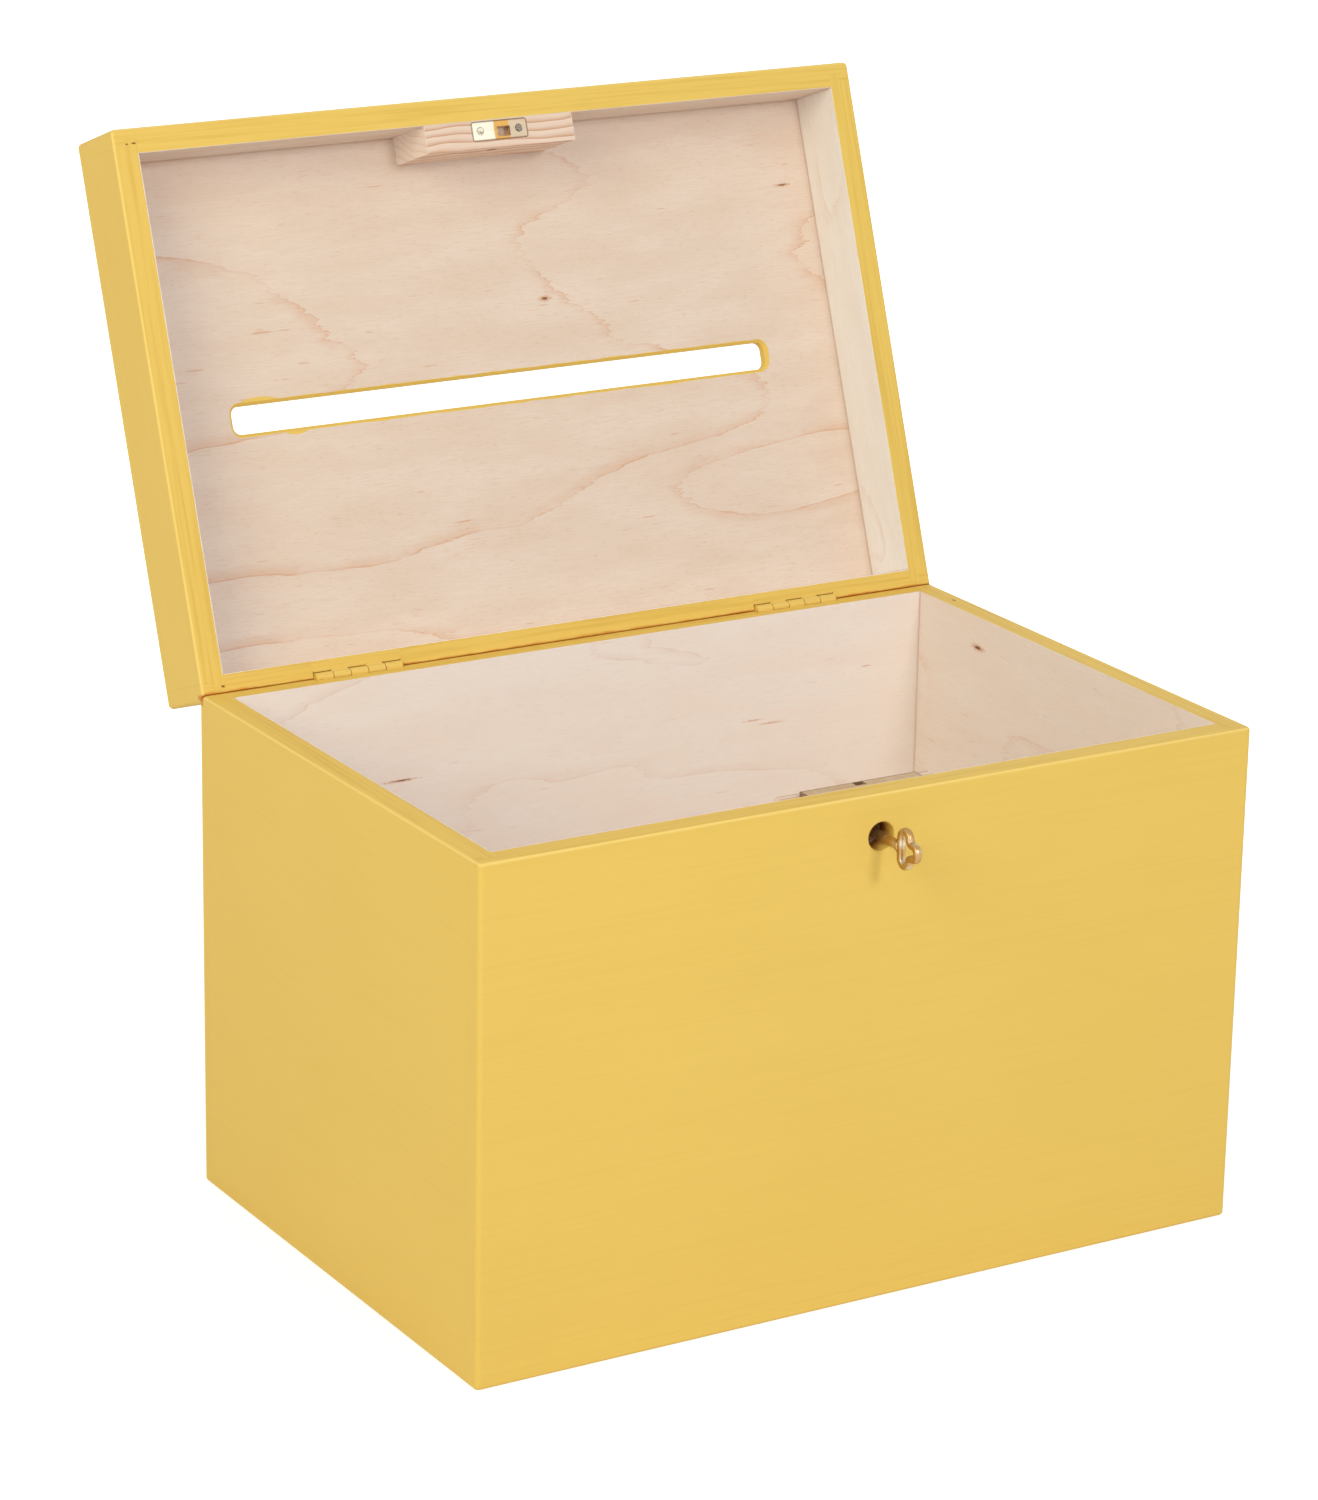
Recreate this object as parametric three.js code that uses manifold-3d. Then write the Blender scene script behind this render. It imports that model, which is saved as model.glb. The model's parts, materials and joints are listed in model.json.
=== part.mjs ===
// Wooden card box: a plywood box with a hinged lid, a card slot in the lid,
// two small butt hinges set in the back edge, and a brass hook lock with its key.
// Millimetres, +Z up, front towards -Y. The origin is the middle of the underside.
// The lid stands open, as the box is shown when cards are taken out.

import * as THREE from 'three';
import { mergeVertices } from 'three/addons/utils/BufferGeometryUtils.js';
import Module from 'manifold-3d';

const wasm = await Module();
wasm.setup();

// Box
const WIDTH = 300;
const DEPTH = 199;
const BODY_HEIGHT = 180;
const LID_HEIGHT = 30;
const CLOSED_GAP = 0.5;
const WALL = 9;
const PANEL = 5;
const EASED_EDGE = 1.2;
const CORNER_CORE = 0.6;
const GLUE_LINE = 0.02;
const OPEN_ANGLE = 110;

// Corner joint: a stepped rabbet, as shares of the wall's thickness from its outer face
const OUTER_STEP = 0.73;
const INNER_STEP = 0.44;

// Card slot
const SLOT_LENGTH = 220;
const SLOT_WIDTH = 10;
const SLOT_CORNER = 3;
const SLOT_EASE = 1;
const SLOT_BACKSET = 3;

// Hinges
const HINGE_LENGTH = 34;
const HINGE_FROM_END = 60;
const HINGE_INSET = 2.7;
const KNUCKLES = 5;
const KNUCKLE_RADIUS = 1.8;
const KNUCKLE_GAP = 0.3;
const PIN_RADIUS = 0.9;
const PIN_BORE = 1;
const LEAF_REACH = 5.4;
const LEAF_THICKNESS = 0.9;
const LEAF_SCREW_PITCH = 20;
const LEAF_SCREW_MARGIN = 0.4;
const SEAT_GAP = 0.2;
const SWING_GAP = 0.4;

// Wood screws
const SCREW_HEAD_RADIUS = 1.4;
const SCREW_SHANK_RADIUS = 0.8;
const SCREW_TAPER = 0.8;
const SCREW_LENGTH = 9;
const SCREW_POINT = 2;
const SCREW_POINT_RADIUS = 0.24;
const SCREW_POINT_BLUNT = 0.2;
const SCREW_SLOT = 0.5;
const SCREW_HOLE_GAP = 0.15;

// Lock and its block
const KEY_DROP = 15;
const KEYHOLE_RADIUS = 4.95;
const KEYHOLE_EASE = 0.6;
const BLOCK_LENGTH = 60;
const BLOCK_DEPTH = 10;
const LOCK_BLOCK_HEIGHT = 34;
const LOCK_BLOCK_DROP = 2.5;
const LOCK_LENGTH = 45;
const LOCK_HEIGHT = 26;
const LOCK_DEPTH = 6.2;
const LOCK_DROP = 0.6;
const LOCK_SHEET = 0.8;
const LOCK_TOP_SHEET = 1;
const LOCK_CLEARANCE = 0.2;
const LOCK_WALL_GAP = 0.1;
const LOCK_MOUTH = [-2.6, 1.6];
const LOCK_MOUTH_SIDE = 0.6;
const LOCK_SCREW_PITCH = 34;
const SHEET_FIT = 0.05;
const HUB_RADIUS = 5;
const HUB_THICKNESS = 2.2;
const HUB_WEB = 0.6;
const TRUNNION_RADIUS = 1.4;
const TRUNNION_GAP = 0.1;
const DRIVE_RADIUS = 4.2;
const DRIVE_PIN_RADIUS = 0.9;
const SPRING_GAP = 0.3;
const SPRING_SAG = 5;
const SPRING_STRIP = 0.4;

// Hook: a claw on an arc about its own pivot
const KEY_TURN = 90;
const HOOK_SWING = 74;
const HOOK_THICKNESS = 1.8;
const HOOK_PIVOT_OFFSET = 5.5;
const HOOK_PIVOT_DROP = 3.9;
const HOOK_EYE_RADIUS = 2;
const HOOK_BORE = 0.9;
const PIVOT_RADIUS = 0.8;
const CLAW_INNER = 5.9;
const CLAW_OUTER = 7.5;
const TAIL_RADIUS = 9.4;
const CLAW_TIP_ANGLE = 164;
const CLAW_ROOT_ANGLE = 250;
const TAIL_START_ANGLE = 240;
const TAIL_END_ANGLE = 320;
const PATH_STEPS = 12;

// Keeper in the lid
const KEEPER_LENGTH = 22.4;
const KEEPER_WIDTH = 6.8;
const KEEPER_THICKNESS = 1.2;
const KEEPER_CORNER = 1.2;
const KEEPER_BED_GAP = 0.15;
const KEEPER_WALL_GAP = 0.4;
const KEEPER_SCREW_PITCH = 15.6;
const KEEPER_MOUTH = [-1, 4.2];
const KEEPER_MOUTH_WIDTH = 3.6;
const HOOK_ROOM = [-2.6, 6];
const HOOK_ROOM_HEIGHT = 4.2;
const DRILL_HOLE_RADIUS = 2;
const DRILL_HOLE_X = -1.5;
const DRILL_HOLE_HEIGHT = 5.6;
const DRILL_HOLE_DEPTH = 4;

// Key
const SHAFT_RADIUS = 1.7;
const SHAFT_OUT = 10.4;
const BIT_RADIUS = 4.6;
const BIT_WIDTH = 1.7;
const BIT_END_GAP = 0.1;
const KEYWAY_GAP = 0.15;
const LOBE_ASIDE = 3.45;
const LOBE_AHEAD = 4.8;
const ASIDE_RADIUS = 3.7;
const AHEAD_RADIUS = 3.5;
const BOW_BAND = 2.5;
const BOW_THICKNESS = 2.7;
const BOW_ROUND = 0.8;
const BOW_OVERLAP = 0.5;
const FLARE_LENGTH = 2.5;
const FLARE_END = 1.15;

// Facets on round forms
const ROUND = 24;
const SMALL_ROUND = 16;
const SCREW_FACETS = 12;
const ARC_FACETS = 12;
const CORNER_FACETS = 4;
const EASE_FACETS = 3;
const BOW_CURVE_FACETS = 6;
const BOW_ROUND_FACETS = 2;

// How far a cut runs past the face that it opens
const OVERCUT = 1;

// Places worked out from the sizes above
const FRONT = -DEPTH / 2;
const BACK = DEPTH / 2;
const FRONT_INSIDE = FRONT + WALL;
const HINGE_Y = BACK - HINGE_INSET;
const HINGE_Z = BODY_HEIGHT + CLOSED_GAP / 2;
const KEY_Z = BODY_HEIGHT - KEY_DROP;
const PIVOT_Z = BODY_HEIGHT - HOOK_PIVOT_DROP;
const LOCK_TOP = BODY_HEIGHT - LOCK_DROP;
const LOCK_FRONT = FRONT_INSIDE + LOCK_WALL_GAP;
const LOCK_BACK = LOCK_FRONT + LOCK_DEPTH;
const HUB_FRONT = LOCK_FRONT + LOCK_SHEET + LOCK_CLEARANCE;
const HUB_BACK = HUB_FRONT + HUB_THICKNESS;
const HOOK_FRONT = HUB_BACK + LOCK_CLEARANCE;
const HOOK_BACK = HOOK_FRONT + HOOK_THICKNESS;
const COVER_FRONT = LOCK_BACK - LOCK_SHEET;
const HOOK_MIDDLE = (HOOK_FRONT + HOOK_BACK) / 2;
const KEEPER_Y = FRONT_INSIDE + KEEPER_WALL_GAP + KEEPER_WIDTH / 2;
const LID_INSIDE = LID_HEIGHT - PANEL;
const degrees = THREE.MathUtils.degToRad;

// Finishes
const finishes = {
  paint: { color: 0xebc86b, roughness: 0.42, metalness: 0 },
  rawWood: { color: 0xe3c9ae, roughness: 0.75, metalness: 0 },
  brass: { color: 0xc79a55, roughness: 0.3, metalness: 1 },
  lockMetal: { color: 0xb99a74, roughness: 0.4, metalness: 1 },
  nickel: { color: 0xd9d2c0, roughness: 0.3, metalness: 1 },
  screw: { color: 0x8d8778, roughness: 0.4, metalness: 1 },
};

// A closed three.js geometry as a solid that can be joined and cut.
function solid(geometry) {
  const bare = geometry.clone();
  bare.deleteAttribute('normal');
  bare.deleteAttribute('uv');
  const merged = mergeVertices(bare);
  const corners = [];
  const index = merged.index.array;
  for (let i = 0; i < index.length; i += 3) {
    const [a, b, c] = [index[i], index[i + 1], index[i + 2]];
    if (a !== b && b !== c && c !== a) corners.push(a, b, c);
  }
  return new wasm.Manifold(new wasm.Mesh({
    numProp: 3,
    vertProperties: new Float32Array(merged.attributes.position.array),
    triVerts: new Uint32Array(corners),
  }));
}

// A solid as a named mesh with a finish of its own.
function piece(name, shape, finish) {
  const { vertProperties, triVerts } = shape.getMesh();
  const geometry = new THREE.BufferGeometry();
  geometry.setAttribute('position', new THREE.BufferAttribute(new Float32Array(vertProperties), 3));
  geometry.setIndex(new THREE.BufferAttribute(new Uint32Array(triVerts), 1));
  geometry.computeVertexNormals();
  const material = new THREE.MeshStandardMaterial({ ...finishes[finish], flatShading: true });
  const mesh = new THREE.Mesh(geometry, material);
  mesh.name = name;
  return mesh;
}

// An outline of straight runs.
function outline(points) {
  return new THREE.Shape(points.map(([a, b]) => new THREE.Vector2(a, b)));
}

// A rectangle with round corners about a centre.
function roundedRect(width, height, radius, centreX = 0, centreY = 0) {
  const x = width / 2 - radius;
  const y = height / 2 - radius;
  const shape = new THREE.Shape();
  shape.absarc(centreX + x, centreY + y, radius, 0, Math.PI / 2);
  shape.absarc(centreX - x, centreY + y, radius, Math.PI / 2, Math.PI);
  shape.absarc(centreX - x, centreY - y, radius, Math.PI, 1.5 * Math.PI);
  shape.absarc(centreX + x, centreY - y, radius, 1.5 * Math.PI, 2 * Math.PI);
  return shape;
}

// An outline carried straight from one end to the other, along Z, along Y or along X.
// Along Y it is drawn as seen from the front, along X as seen from the right.
const draws = {
  z: new THREE.Matrix4(),
  y: new THREE.Matrix4().makeRotationX(Math.PI / 2),
  x: new THREE.Matrix4().makeBasis(
    new THREE.Vector3(0, 1, 0), new THREE.Vector3(0, 0, 1), new THREE.Vector3(1, 0, 0),
  ),
};

function drawn(shape, axis, low, high, curveSegments = CORNER_FACETS) {
  const depth = high - low;
  const geometry = new THREE.ExtrudeGeometry(shape, { depth, bevelEnabled: false, curveSegments });
  geometry.applyMatrix4(draws[axis]);
  if (axis === 'z') geometry.translate(0, 0, low);
  if (axis === 'y') geometry.translate(0, high, 0);
  if (axis === 'x') geometry.translate(low, 0, 0);
  return solid(geometry);
}

// A plain block between two corners.
function block(low, high) {
  const [x, y, z] = high.map((value, i) => value - low[i]);
  const geometry = new THREE.BoxGeometry(x, y, z);
  geometry.translate(low[0] + x / 2, low[1] + y / 2, low[2] + z / 2);
  return solid(geometry);
}

// A round rod along an axis. The place gives its other two coordinates in X, Y, Z order.
function rod(axis, radius, low, high, place, facets = SMALL_ROUND) {
  const middle = (low + high) / 2;
  const geometry = new THREE.CylinderGeometry(radius, radius, high - low, facets);
  if (axis === 'x') geometry.rotateZ(Math.PI / 2).translate(middle, place[0], place[1]);
  if (axis === 'y') geometry.translate(place[0], middle, place[1]);
  if (axis === 'z') geometry.rotateX(Math.PI / 2).translate(place[0], place[1], middle);
  return solid(geometry);
}

// A box of the full plan with every outer edge eased.
function easedBox(height) {
  const inset = 2 * EASED_EDGE;
  const geometry = new THREE.ExtrudeGeometry(roundedRect(WIDTH - inset, DEPTH - inset, CORNER_CORE), {
    depth: height - inset,
    bevelSize: EASED_EDGE,
    bevelThickness: EASED_EDGE,
    bevelSegments: EASE_FACETS,
    curveSegments: EASE_FACETS,
  });
  geometry.translate(0, 0, EASED_EDGE);
  return solid(geometry);
}

// Four walls joined at the corners by stepped rabbets, trimmed to the eased outer form.
function wallRing(low, high, envelope) {
  const outerStep = OUTER_STEP * WALL;
  const innerStep = INNER_STEP * WALL;
  const right = WIDTH / 2;
  const half = WALL / 2;
  const front = drawn(outline([
    [-right, FRONT], [right, FRONT],
    [right, FRONT + outerStep], [right - half, FRONT + outerStep],
    [right - half, FRONT + innerStep], [right - WALL, FRONT + innerStep],
    [right - WALL, FRONT_INSIDE], [WALL - right, FRONT_INSIDE],
    [WALL - right, FRONT + innerStep], [half - right, FRONT + innerStep],
    [half - right, FRONT + outerStep], [-right, FRONT + outerStep],
  ]), 'z', low, high);
  const endOuter = BACK - outerStep - GLUE_LINE;
  const endInner = BACK - innerStep - GLUE_LINE;
  const inside = right - WALL + GLUE_LINE;
  const step = right - half - GLUE_LINE;
  const side = drawn(outline([
    [right, -endOuter], [right, endOuter], [step, endOuter],
    [step, endInner], [inside, endInner], [inside, BACK - WALL],
    [right - WALL, BACK - WALL], [right - WALL, WALL - BACK], [inside, WALL - BACK],
    [inside, -endInner], [step, -endInner], [step, -endOuter],
  ]), 'z', low, high);
  return {
    front: front.intersect(envelope),
    back: front.rotate([0, 0, 180]).intersect(envelope),
    right: side.intersect(envelope),
    left: side.rotate([0, 0, 180]).intersect(envelope),
  };
}

// A countersunk wood screw standing along Z, its flat head at the top, and the hole that takes it.
function screwProfile(gap) {
  const head = SCREW_HEAD_RADIUS + gap;
  const shank = SCREW_SHANK_RADIUS + gap;
  const tip = SCREW_LENGTH + gap;
  const points = [
    [0, -tip], [SCREW_POINT_RADIUS + gap, SCREW_POINT_BLUNT - tip], [shank, SCREW_POINT - tip],
    [shank, -SCREW_TAPER], [head, 0], [0, 0],
  ].map(([radius, height]) => new THREE.Vector2(radius, height));
  return solid(new THREE.LatheGeometry(points, SCREW_FACETS).rotateX(Math.PI / 2));
}

const screwHole = screwProfile(SCREW_HOLE_GAP);
const slotCut = block(
  [-SCREW_HEAD_RADIUS - OVERCUT, -SCREW_SLOT / 2, -SCREW_SLOT],
  [SCREW_HEAD_RADIUS + OVERCUT, SCREW_SLOT / 2, OVERCUT],
);
const woodScrew = screwProfile(0).subtract(slotCut);

// Hinges
// Each leaf lies flush in a rim and curls into its share of the knuckles round the pin.
// It is drawn for the body, and turned over about the hinge axis for the lid.
const hingeCentres = { left: HINGE_FROM_END - WIDTH / 2, right: WIDTH / 2 - HINGE_FROM_END };
const knuckleLength = HINGE_LENGTH / KNUCKLES;
const leafScrewY = HINGE_Y - LEAF_REACH + SCREW_HEAD_RADIUS + LEAF_SCREW_MARGIN;
const leafScrewXs = [-LEAF_SCREW_PITCH / 2, LEAF_SCREW_PITCH / 2];

function knuckleSpan(i) {
  const start = -HINGE_LENGTH / 2 + i * knuckleLength;
  return [start + KNUCKLE_GAP / 2, start + knuckleLength - KNUCKLE_GAP / 2];
}

function hingeLeaf(firstKnuckle) {
  const top = BODY_HEIGHT;
  const half = HINGE_LENGTH / 2 - KNUCKLE_GAP / 2;
  const axis = [HINGE_Y, HINGE_Z];
  let leaf = block([-half, HINGE_Y - LEAF_REACH, top - LEAF_THICKNESS], [half, HINGE_Y, top]);
  for (let i = 0; i < KNUCKLES; i += 1) {
    const [low, high] = knuckleSpan(i);
    const own = i % 2 === firstKnuckle;
    if (own) leaf = leaf.add(rod('x', KNUCKLE_RADIUS, low, high, axis));
    else {
      const wide = KNUCKLE_RADIUS + SWING_GAP;
      leaf = leaf.subtract(rod('x', wide, low - KNUCKLE_GAP, high + KNUCKLE_GAP, axis));
    }
  }
  leaf = leaf.subtract(rod('x', PIN_BORE, -HINGE_LENGTH, HINGE_LENGTH, axis));
  for (const x of leafScrewXs) leaf = leaf.subtract(screwHole.translate([x, leafScrewY, top]));
  return leaf;
}

// The seat cut in a rim: a shallow bed for the leaf, a groove for the knuckles, holes for the screws.
function hingeSeat(centre) {
  const half = HINGE_LENGTH / 2 + SEAT_GAP;
  const bedLow = BODY_HEIGHT - LEAF_THICKNESS - SEAT_GAP;
  let seat = block([-half, HINGE_Y - LEAF_REACH - SEAT_GAP, bedLow], [half, HINGE_Y, BODY_HEIGHT + OVERCUT]);
  seat = seat.add(rod('x', KNUCKLE_RADIUS + SWING_GAP, -half, half, [HINGE_Y, HINGE_Z]));
  for (const x of leafScrewXs) seat = seat.add(screwHole.translate([x, leafScrewY, BODY_HEIGHT]));
  return seat.translate([centre, 0, 0]);
}

// The bevel along the back edge of a rim, which lets the lid lean past upright. It slopes at half the opening
// angle, so at the open stop the lid's bevel lies flat over the body's, the closed gap away from it.
const bevelSlope = degrees(OPEN_ANGLE / 2);
const bevelFront = HINGE_Y - (CLOSED_GAP / 2) * Math.tan(bevelSlope / 2);
const bevelFoot = HINGE_Z - (CLOSED_GAP / 2 + HINGE_INSET * Math.sin(bevelSlope)) / Math.cos(bevelSlope);
const backBevel = drawn(outline([
  [bevelFront, BODY_HEIGHT], [BACK, bevelFoot], [BACK + OVERCUT, bevelFoot],
  [BACK + OVERCUT, BODY_HEIGHT + OVERCUT], [bevelFront, BODY_HEIGHT + OVERCUT],
]), 'x', -WIDTH, WIDTH);

const rimCuts = Object.values(hingeCentres).reduce((cuts, x) => cuts.add(hingeSeat(x)), backBevel);

// The body's cuts and hinge leaves turned over for the lid: the closed gap's middle is the mirror plane,
// and the lid's own height is measured from its rim.
function forLid(shape) {
  return shape.mirror([0, 0, 1]).translate([0, 0, BODY_HEIGHT]);
}

// Body
// The keyhole is turned about its own axis, along Y. Its mouth rounds out to the front face.
function keyholeCut() {
  const mouth = KEYHOLE_RADIUS + KEYHOLE_EASE;
  const profile = new THREE.Path();
  profile.moveTo(0, FRONT - OVERCUT);
  profile.lineTo(mouth, FRONT - OVERCUT);
  profile.absarc(mouth, FRONT + KEYHOLE_EASE, KEYHOLE_EASE, -Math.PI / 2, -Math.PI, true);
  profile.lineTo(KEYHOLE_RADIUS, FRONT_INSIDE + OVERCUT);
  profile.lineTo(0, FRONT_INSIDE + OVERCUT);
  return solid(new THREE.LatheGeometry(profile.getPoints(EASE_FACETS), ROUND)).translate([0, 0, KEY_Z]);
}

function bodyPieces() {
  const envelope = easedBox(BODY_HEIGHT);
  const walls = wallRing(PANEL + GLUE_LINE, BODY_HEIGHT, envelope);
  const right = WIDTH / 2;
  const bottom = block([-right, FRONT, 0], [right, BACK, PANEL]).intersect(envelope);
  return [
    piece('bottom_panel', bottom, 'paint'),
    piece('front_panel', walls.front.subtract(keyholeCut()), 'paint'),
    piece('back_panel', walls.back.subtract(rimCuts), 'paint'),
    piece('left_panel', walls.left, 'paint'),
    piece('right_panel', walls.right, 'paint'),
  ];
}

// Lid, drawn closed with its rim at height 0
function lidPieces() {
  const envelope = easedBox(LID_HEIGHT);
  const walls = wallRing(0, LID_INSIDE - GLUE_LINE, envelope);
  const right = WIDTH / 2;
  const slotShape = roundedRect(SLOT_LENGTH, SLOT_WIDTH, SLOT_CORNER, 0, SLOT_BACKSET);
  const flare = solid(new THREE.ExtrudeGeometry(slotShape, {
    depth: OVERCUT,
    bevelSize: SLOT_EASE,
    bevelThickness: SLOT_EASE,
    bevelSegments: 1,
    curveSegments: CORNER_FACETS,
  }));
  const top = block([-right, FRONT, LID_INSIDE], [right, BACK, LID_HEIGHT])
    .intersect(envelope)
    .subtract(drawn(slotShape, 'z', LID_INSIDE - OVERCUT, LID_HEIGHT + OVERCUT))
    .subtract(flare.translate([0, 0, LID_HEIGHT]))
    .subtract(flare.translate([0, 0, LID_INSIDE - OVERCUT]));
  return [
    piece('lid_top_panel', top, 'paint'),
    piece('lid_front_rail', walls.front, 'paint'),
    piece('lid_back_rail', walls.back.subtract(forLid(rimCuts)), 'paint'),
    piece('lid_left_rail', walls.left, 'paint'),
    piece('lid_right_rail', walls.right, 'paint'),
  ];
}

function bodyHingePieces() {
  const leaf = hingeLeaf(0);
  const pinEnd = HINGE_LENGTH / 2;
  const pin = rod('x', PIN_RADIUS, -pinEnd, pinEnd, [HINGE_Y, HINGE_Z]);
  return Object.entries(hingeCentres).flatMap(([side, x]) => [
    piece(`hinge_${side}_body_leaf`, leaf.translate([x, 0, 0]), 'paint'),
    piece(`hinge_${side}_pin`, pin.translate([x, 0, 0]), 'paint'),
    ...leafScrewXs.map((offset, i) => {
      const screw = woodScrew.translate([x + offset, leafScrewY, BODY_HEIGHT]);
      return piece(`hinge_${side}_body_screw_${i + 1}`, screw, 'paint');
    }),
  ]);
}

function lidHingePieces() {
  const leaf = forLid(hingeLeaf(1));
  const screw = forLid(woodScrew.translate([0, leafScrewY, BODY_HEIGHT]));
  return Object.entries(hingeCentres).flatMap(([side, x]) => [
    piece(`hinge_${side}_lid_leaf`, leaf.translate([x, 0, 0]), 'paint'),
    ...leafScrewXs.map((offset, i) => (
      piece(`hinge_${side}_lid_screw_${i + 1}`, screw.translate([x + offset, 0, 0]), 'paint')
    )),
  ]);
}

// Lock
// A point turned about another, as seen from the front, in degrees counter-clockwise.
function turned([x, z], [aboutX, aboutZ], angle) {
  const point = new THREE.Vector2(x, z).rotateAround(new THREE.Vector2(aboutX, aboutZ), degrees(angle));
  return [point.x, point.y];
}

const hubAxis = [0, KEY_Z];
const hookPivot = [HOOK_PIVOT_OFFSET, PIVOT_Z];
const towardsPivot = THREE.MathUtils.radToDeg(Math.atan2(PIVOT_Z - KEY_Z, HOOK_PIVOT_OFFSET));
const driveStart = turned([DRIVE_RADIUS, KEY_Z], hubAxis, towardsPivot - KEY_TURN / 2);

// A band of a ring about the hook's pivot, between two angles.
function arcBand(inner, outer, from, to) {
  const [x, z] = hookPivot;
  const shape = new THREE.Shape();
  shape.absarc(x, z, outer, degrees(from), degrees(to));
  if (inner > 0) shape.absarc(x, z, inner, degrees(to), degrees(from), true);
  else shape.lineTo(x, z);
  return drawn(shape, 'y', HOOK_FRONT, HOOK_BACK, ARC_FACETS);
}

// The hook's tail is cut by the path that the hub's drive pin takes past it as both turn.
function lockHook() {
  const reach = [HOOK_FRONT - OVERCUT, HOOK_BACK + OVERCUT];
  let hook = rod('y', HOOK_EYE_RADIUS, HOOK_FRONT, HOOK_BACK, hookPivot)
    .add(arcBand(CLAW_INNER, CLAW_OUTER, CLAW_TIP_ANGLE, CLAW_ROOT_ANGLE))
    .add(arcBand(0, TAIL_RADIUS, TAIL_START_ANGLE, TAIL_END_ANGLE))
    .subtract(rod('y', HOOK_BORE, ...reach, hookPivot));
  for (let i = 0; i <= PATH_STEPS; i += 1) {
    const share = i / PATH_STEPS;
    const pin = turned(turned(driveStart, hubAxis, share * KEY_TURN), hookPivot, share * HOOK_SWING);
    const trunnion = turned(hubAxis, hookPivot, share * HOOK_SWING);
    hook = hook.subtract(rod('y', DRIVE_PIN_RADIUS + SWING_GAP, ...reach, pin));
    hook = hook.subtract(rod('y', TRUNNION_RADIUS + SWING_GAP, ...reach, trunnion));
  }
  return hook;
}

// The keyway: a round hole for the shaft with a slot below it for the bit.
function keyway(gap, reach, low, high) {
  const half = BIT_WIDTH / 2 + gap;
  return rod('y', SHAFT_RADIUS + gap, low, high, hubAxis)
    .add(block([-half, low, KEY_Z - reach], [half, high, KEY_Z]));
}

function lockHub() {
  const disc = rod('y', HUB_RADIUS, HUB_FRONT, HUB_BACK, hubAxis, ROUND);
  const trunnion = rod('y', TRUNNION_RADIUS, HUB_BACK - HUB_WEB, LOCK_BACK, hubAxis);
  const drivePin = rod('y', DRIVE_PIN_RADIUS, HUB_BACK - HUB_WEB, HOOK_BACK, driveStart);
  return disc
    .subtract(keyway(KEYWAY_GAP, HUB_RADIUS + OVERCUT, HUB_FRONT - OVERCUT, HUB_BACK - HUB_WEB))
    .add(trunnion)
    .add(drivePin);
}

// The case is one folded sheet: a front plate, a top plate with the hook's mouth, and two end cheeks.
function lockCase() {
  const half = LOCK_LENGTH / 2;
  const bottom = LOCK_TOP - LOCK_HEIGHT;
  const mouth = block(
    [LOCK_MOUTH[0], HOOK_FRONT - LOCK_MOUTH_SIDE, LOCK_TOP - LOCK_TOP_SHEET - OVERCUT],
    [LOCK_MOUTH[1], HOOK_BACK + LOCK_MOUTH_SIDE, LOCK_TOP + OVERCUT],
  );
  const folded = drawn(outline([
    [LOCK_FRONT, bottom], [LOCK_FRONT + LOCK_SHEET, bottom],
    [LOCK_FRONT + LOCK_SHEET, LOCK_TOP - LOCK_TOP_SHEET], [LOCK_BACK, LOCK_TOP - LOCK_TOP_SHEET],
    [LOCK_BACK, LOCK_TOP], [LOCK_FRONT, LOCK_TOP],
  ]), 'x', -half, half);
  const cheek = block([0, LOCK_FRONT, bottom], [LOCK_SHEET, COVER_FRONT - SHEET_FIT, LOCK_TOP]);
  return folded
    .add(cheek.translate([-half, 0, 0]))
    .add(cheek.translate([half - LOCK_SHEET, 0, 0]))
    .subtract(keyway(KEYWAY_GAP, BIT_RADIUS + 2 * KEYWAY_GAP, LOCK_FRONT - OVERCUT, HUB_FRONT))
    .subtract(mouth)
    .subtract(lockScrewHoles());
}

const lockScrewXs = { left: -LOCK_SCREW_PITCH / 2, right: LOCK_SCREW_PITCH / 2 };
const lockScrewZ = LOCK_TOP - LOCK_HEIGHT / 2;

// A screw laid along Y with its head to the front, against the lock's front plate.
function laidScrew(shape, x) {
  return shape.rotate([90, 0, 0]).translate([x, LOCK_FRONT, lockScrewZ]);
}

function lockScrewHoles() {
  return laidScrew(screwHole, lockScrewXs.left).add(laidScrew(screwHole, lockScrewXs.right));
}

function lockCover() {
  const half = LOCK_LENGTH / 2;
  const low = LOCK_TOP - LOCK_HEIGHT;
  const high = LOCK_TOP - LOCK_TOP_SHEET - SHEET_FIT;
  const boreRadius = TRUNNION_RADIUS + TRUNNION_GAP;
  const bearing = rod('y', boreRadius, COVER_FRONT - OVERCUT, LOCK_BACK + OVERCUT, hubAxis);
  return block([-half, COVER_FRONT, low], [half, LOCK_BACK, high])
    .subtract(bearing)
    .subtract(lockScrewHoles());
}

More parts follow.
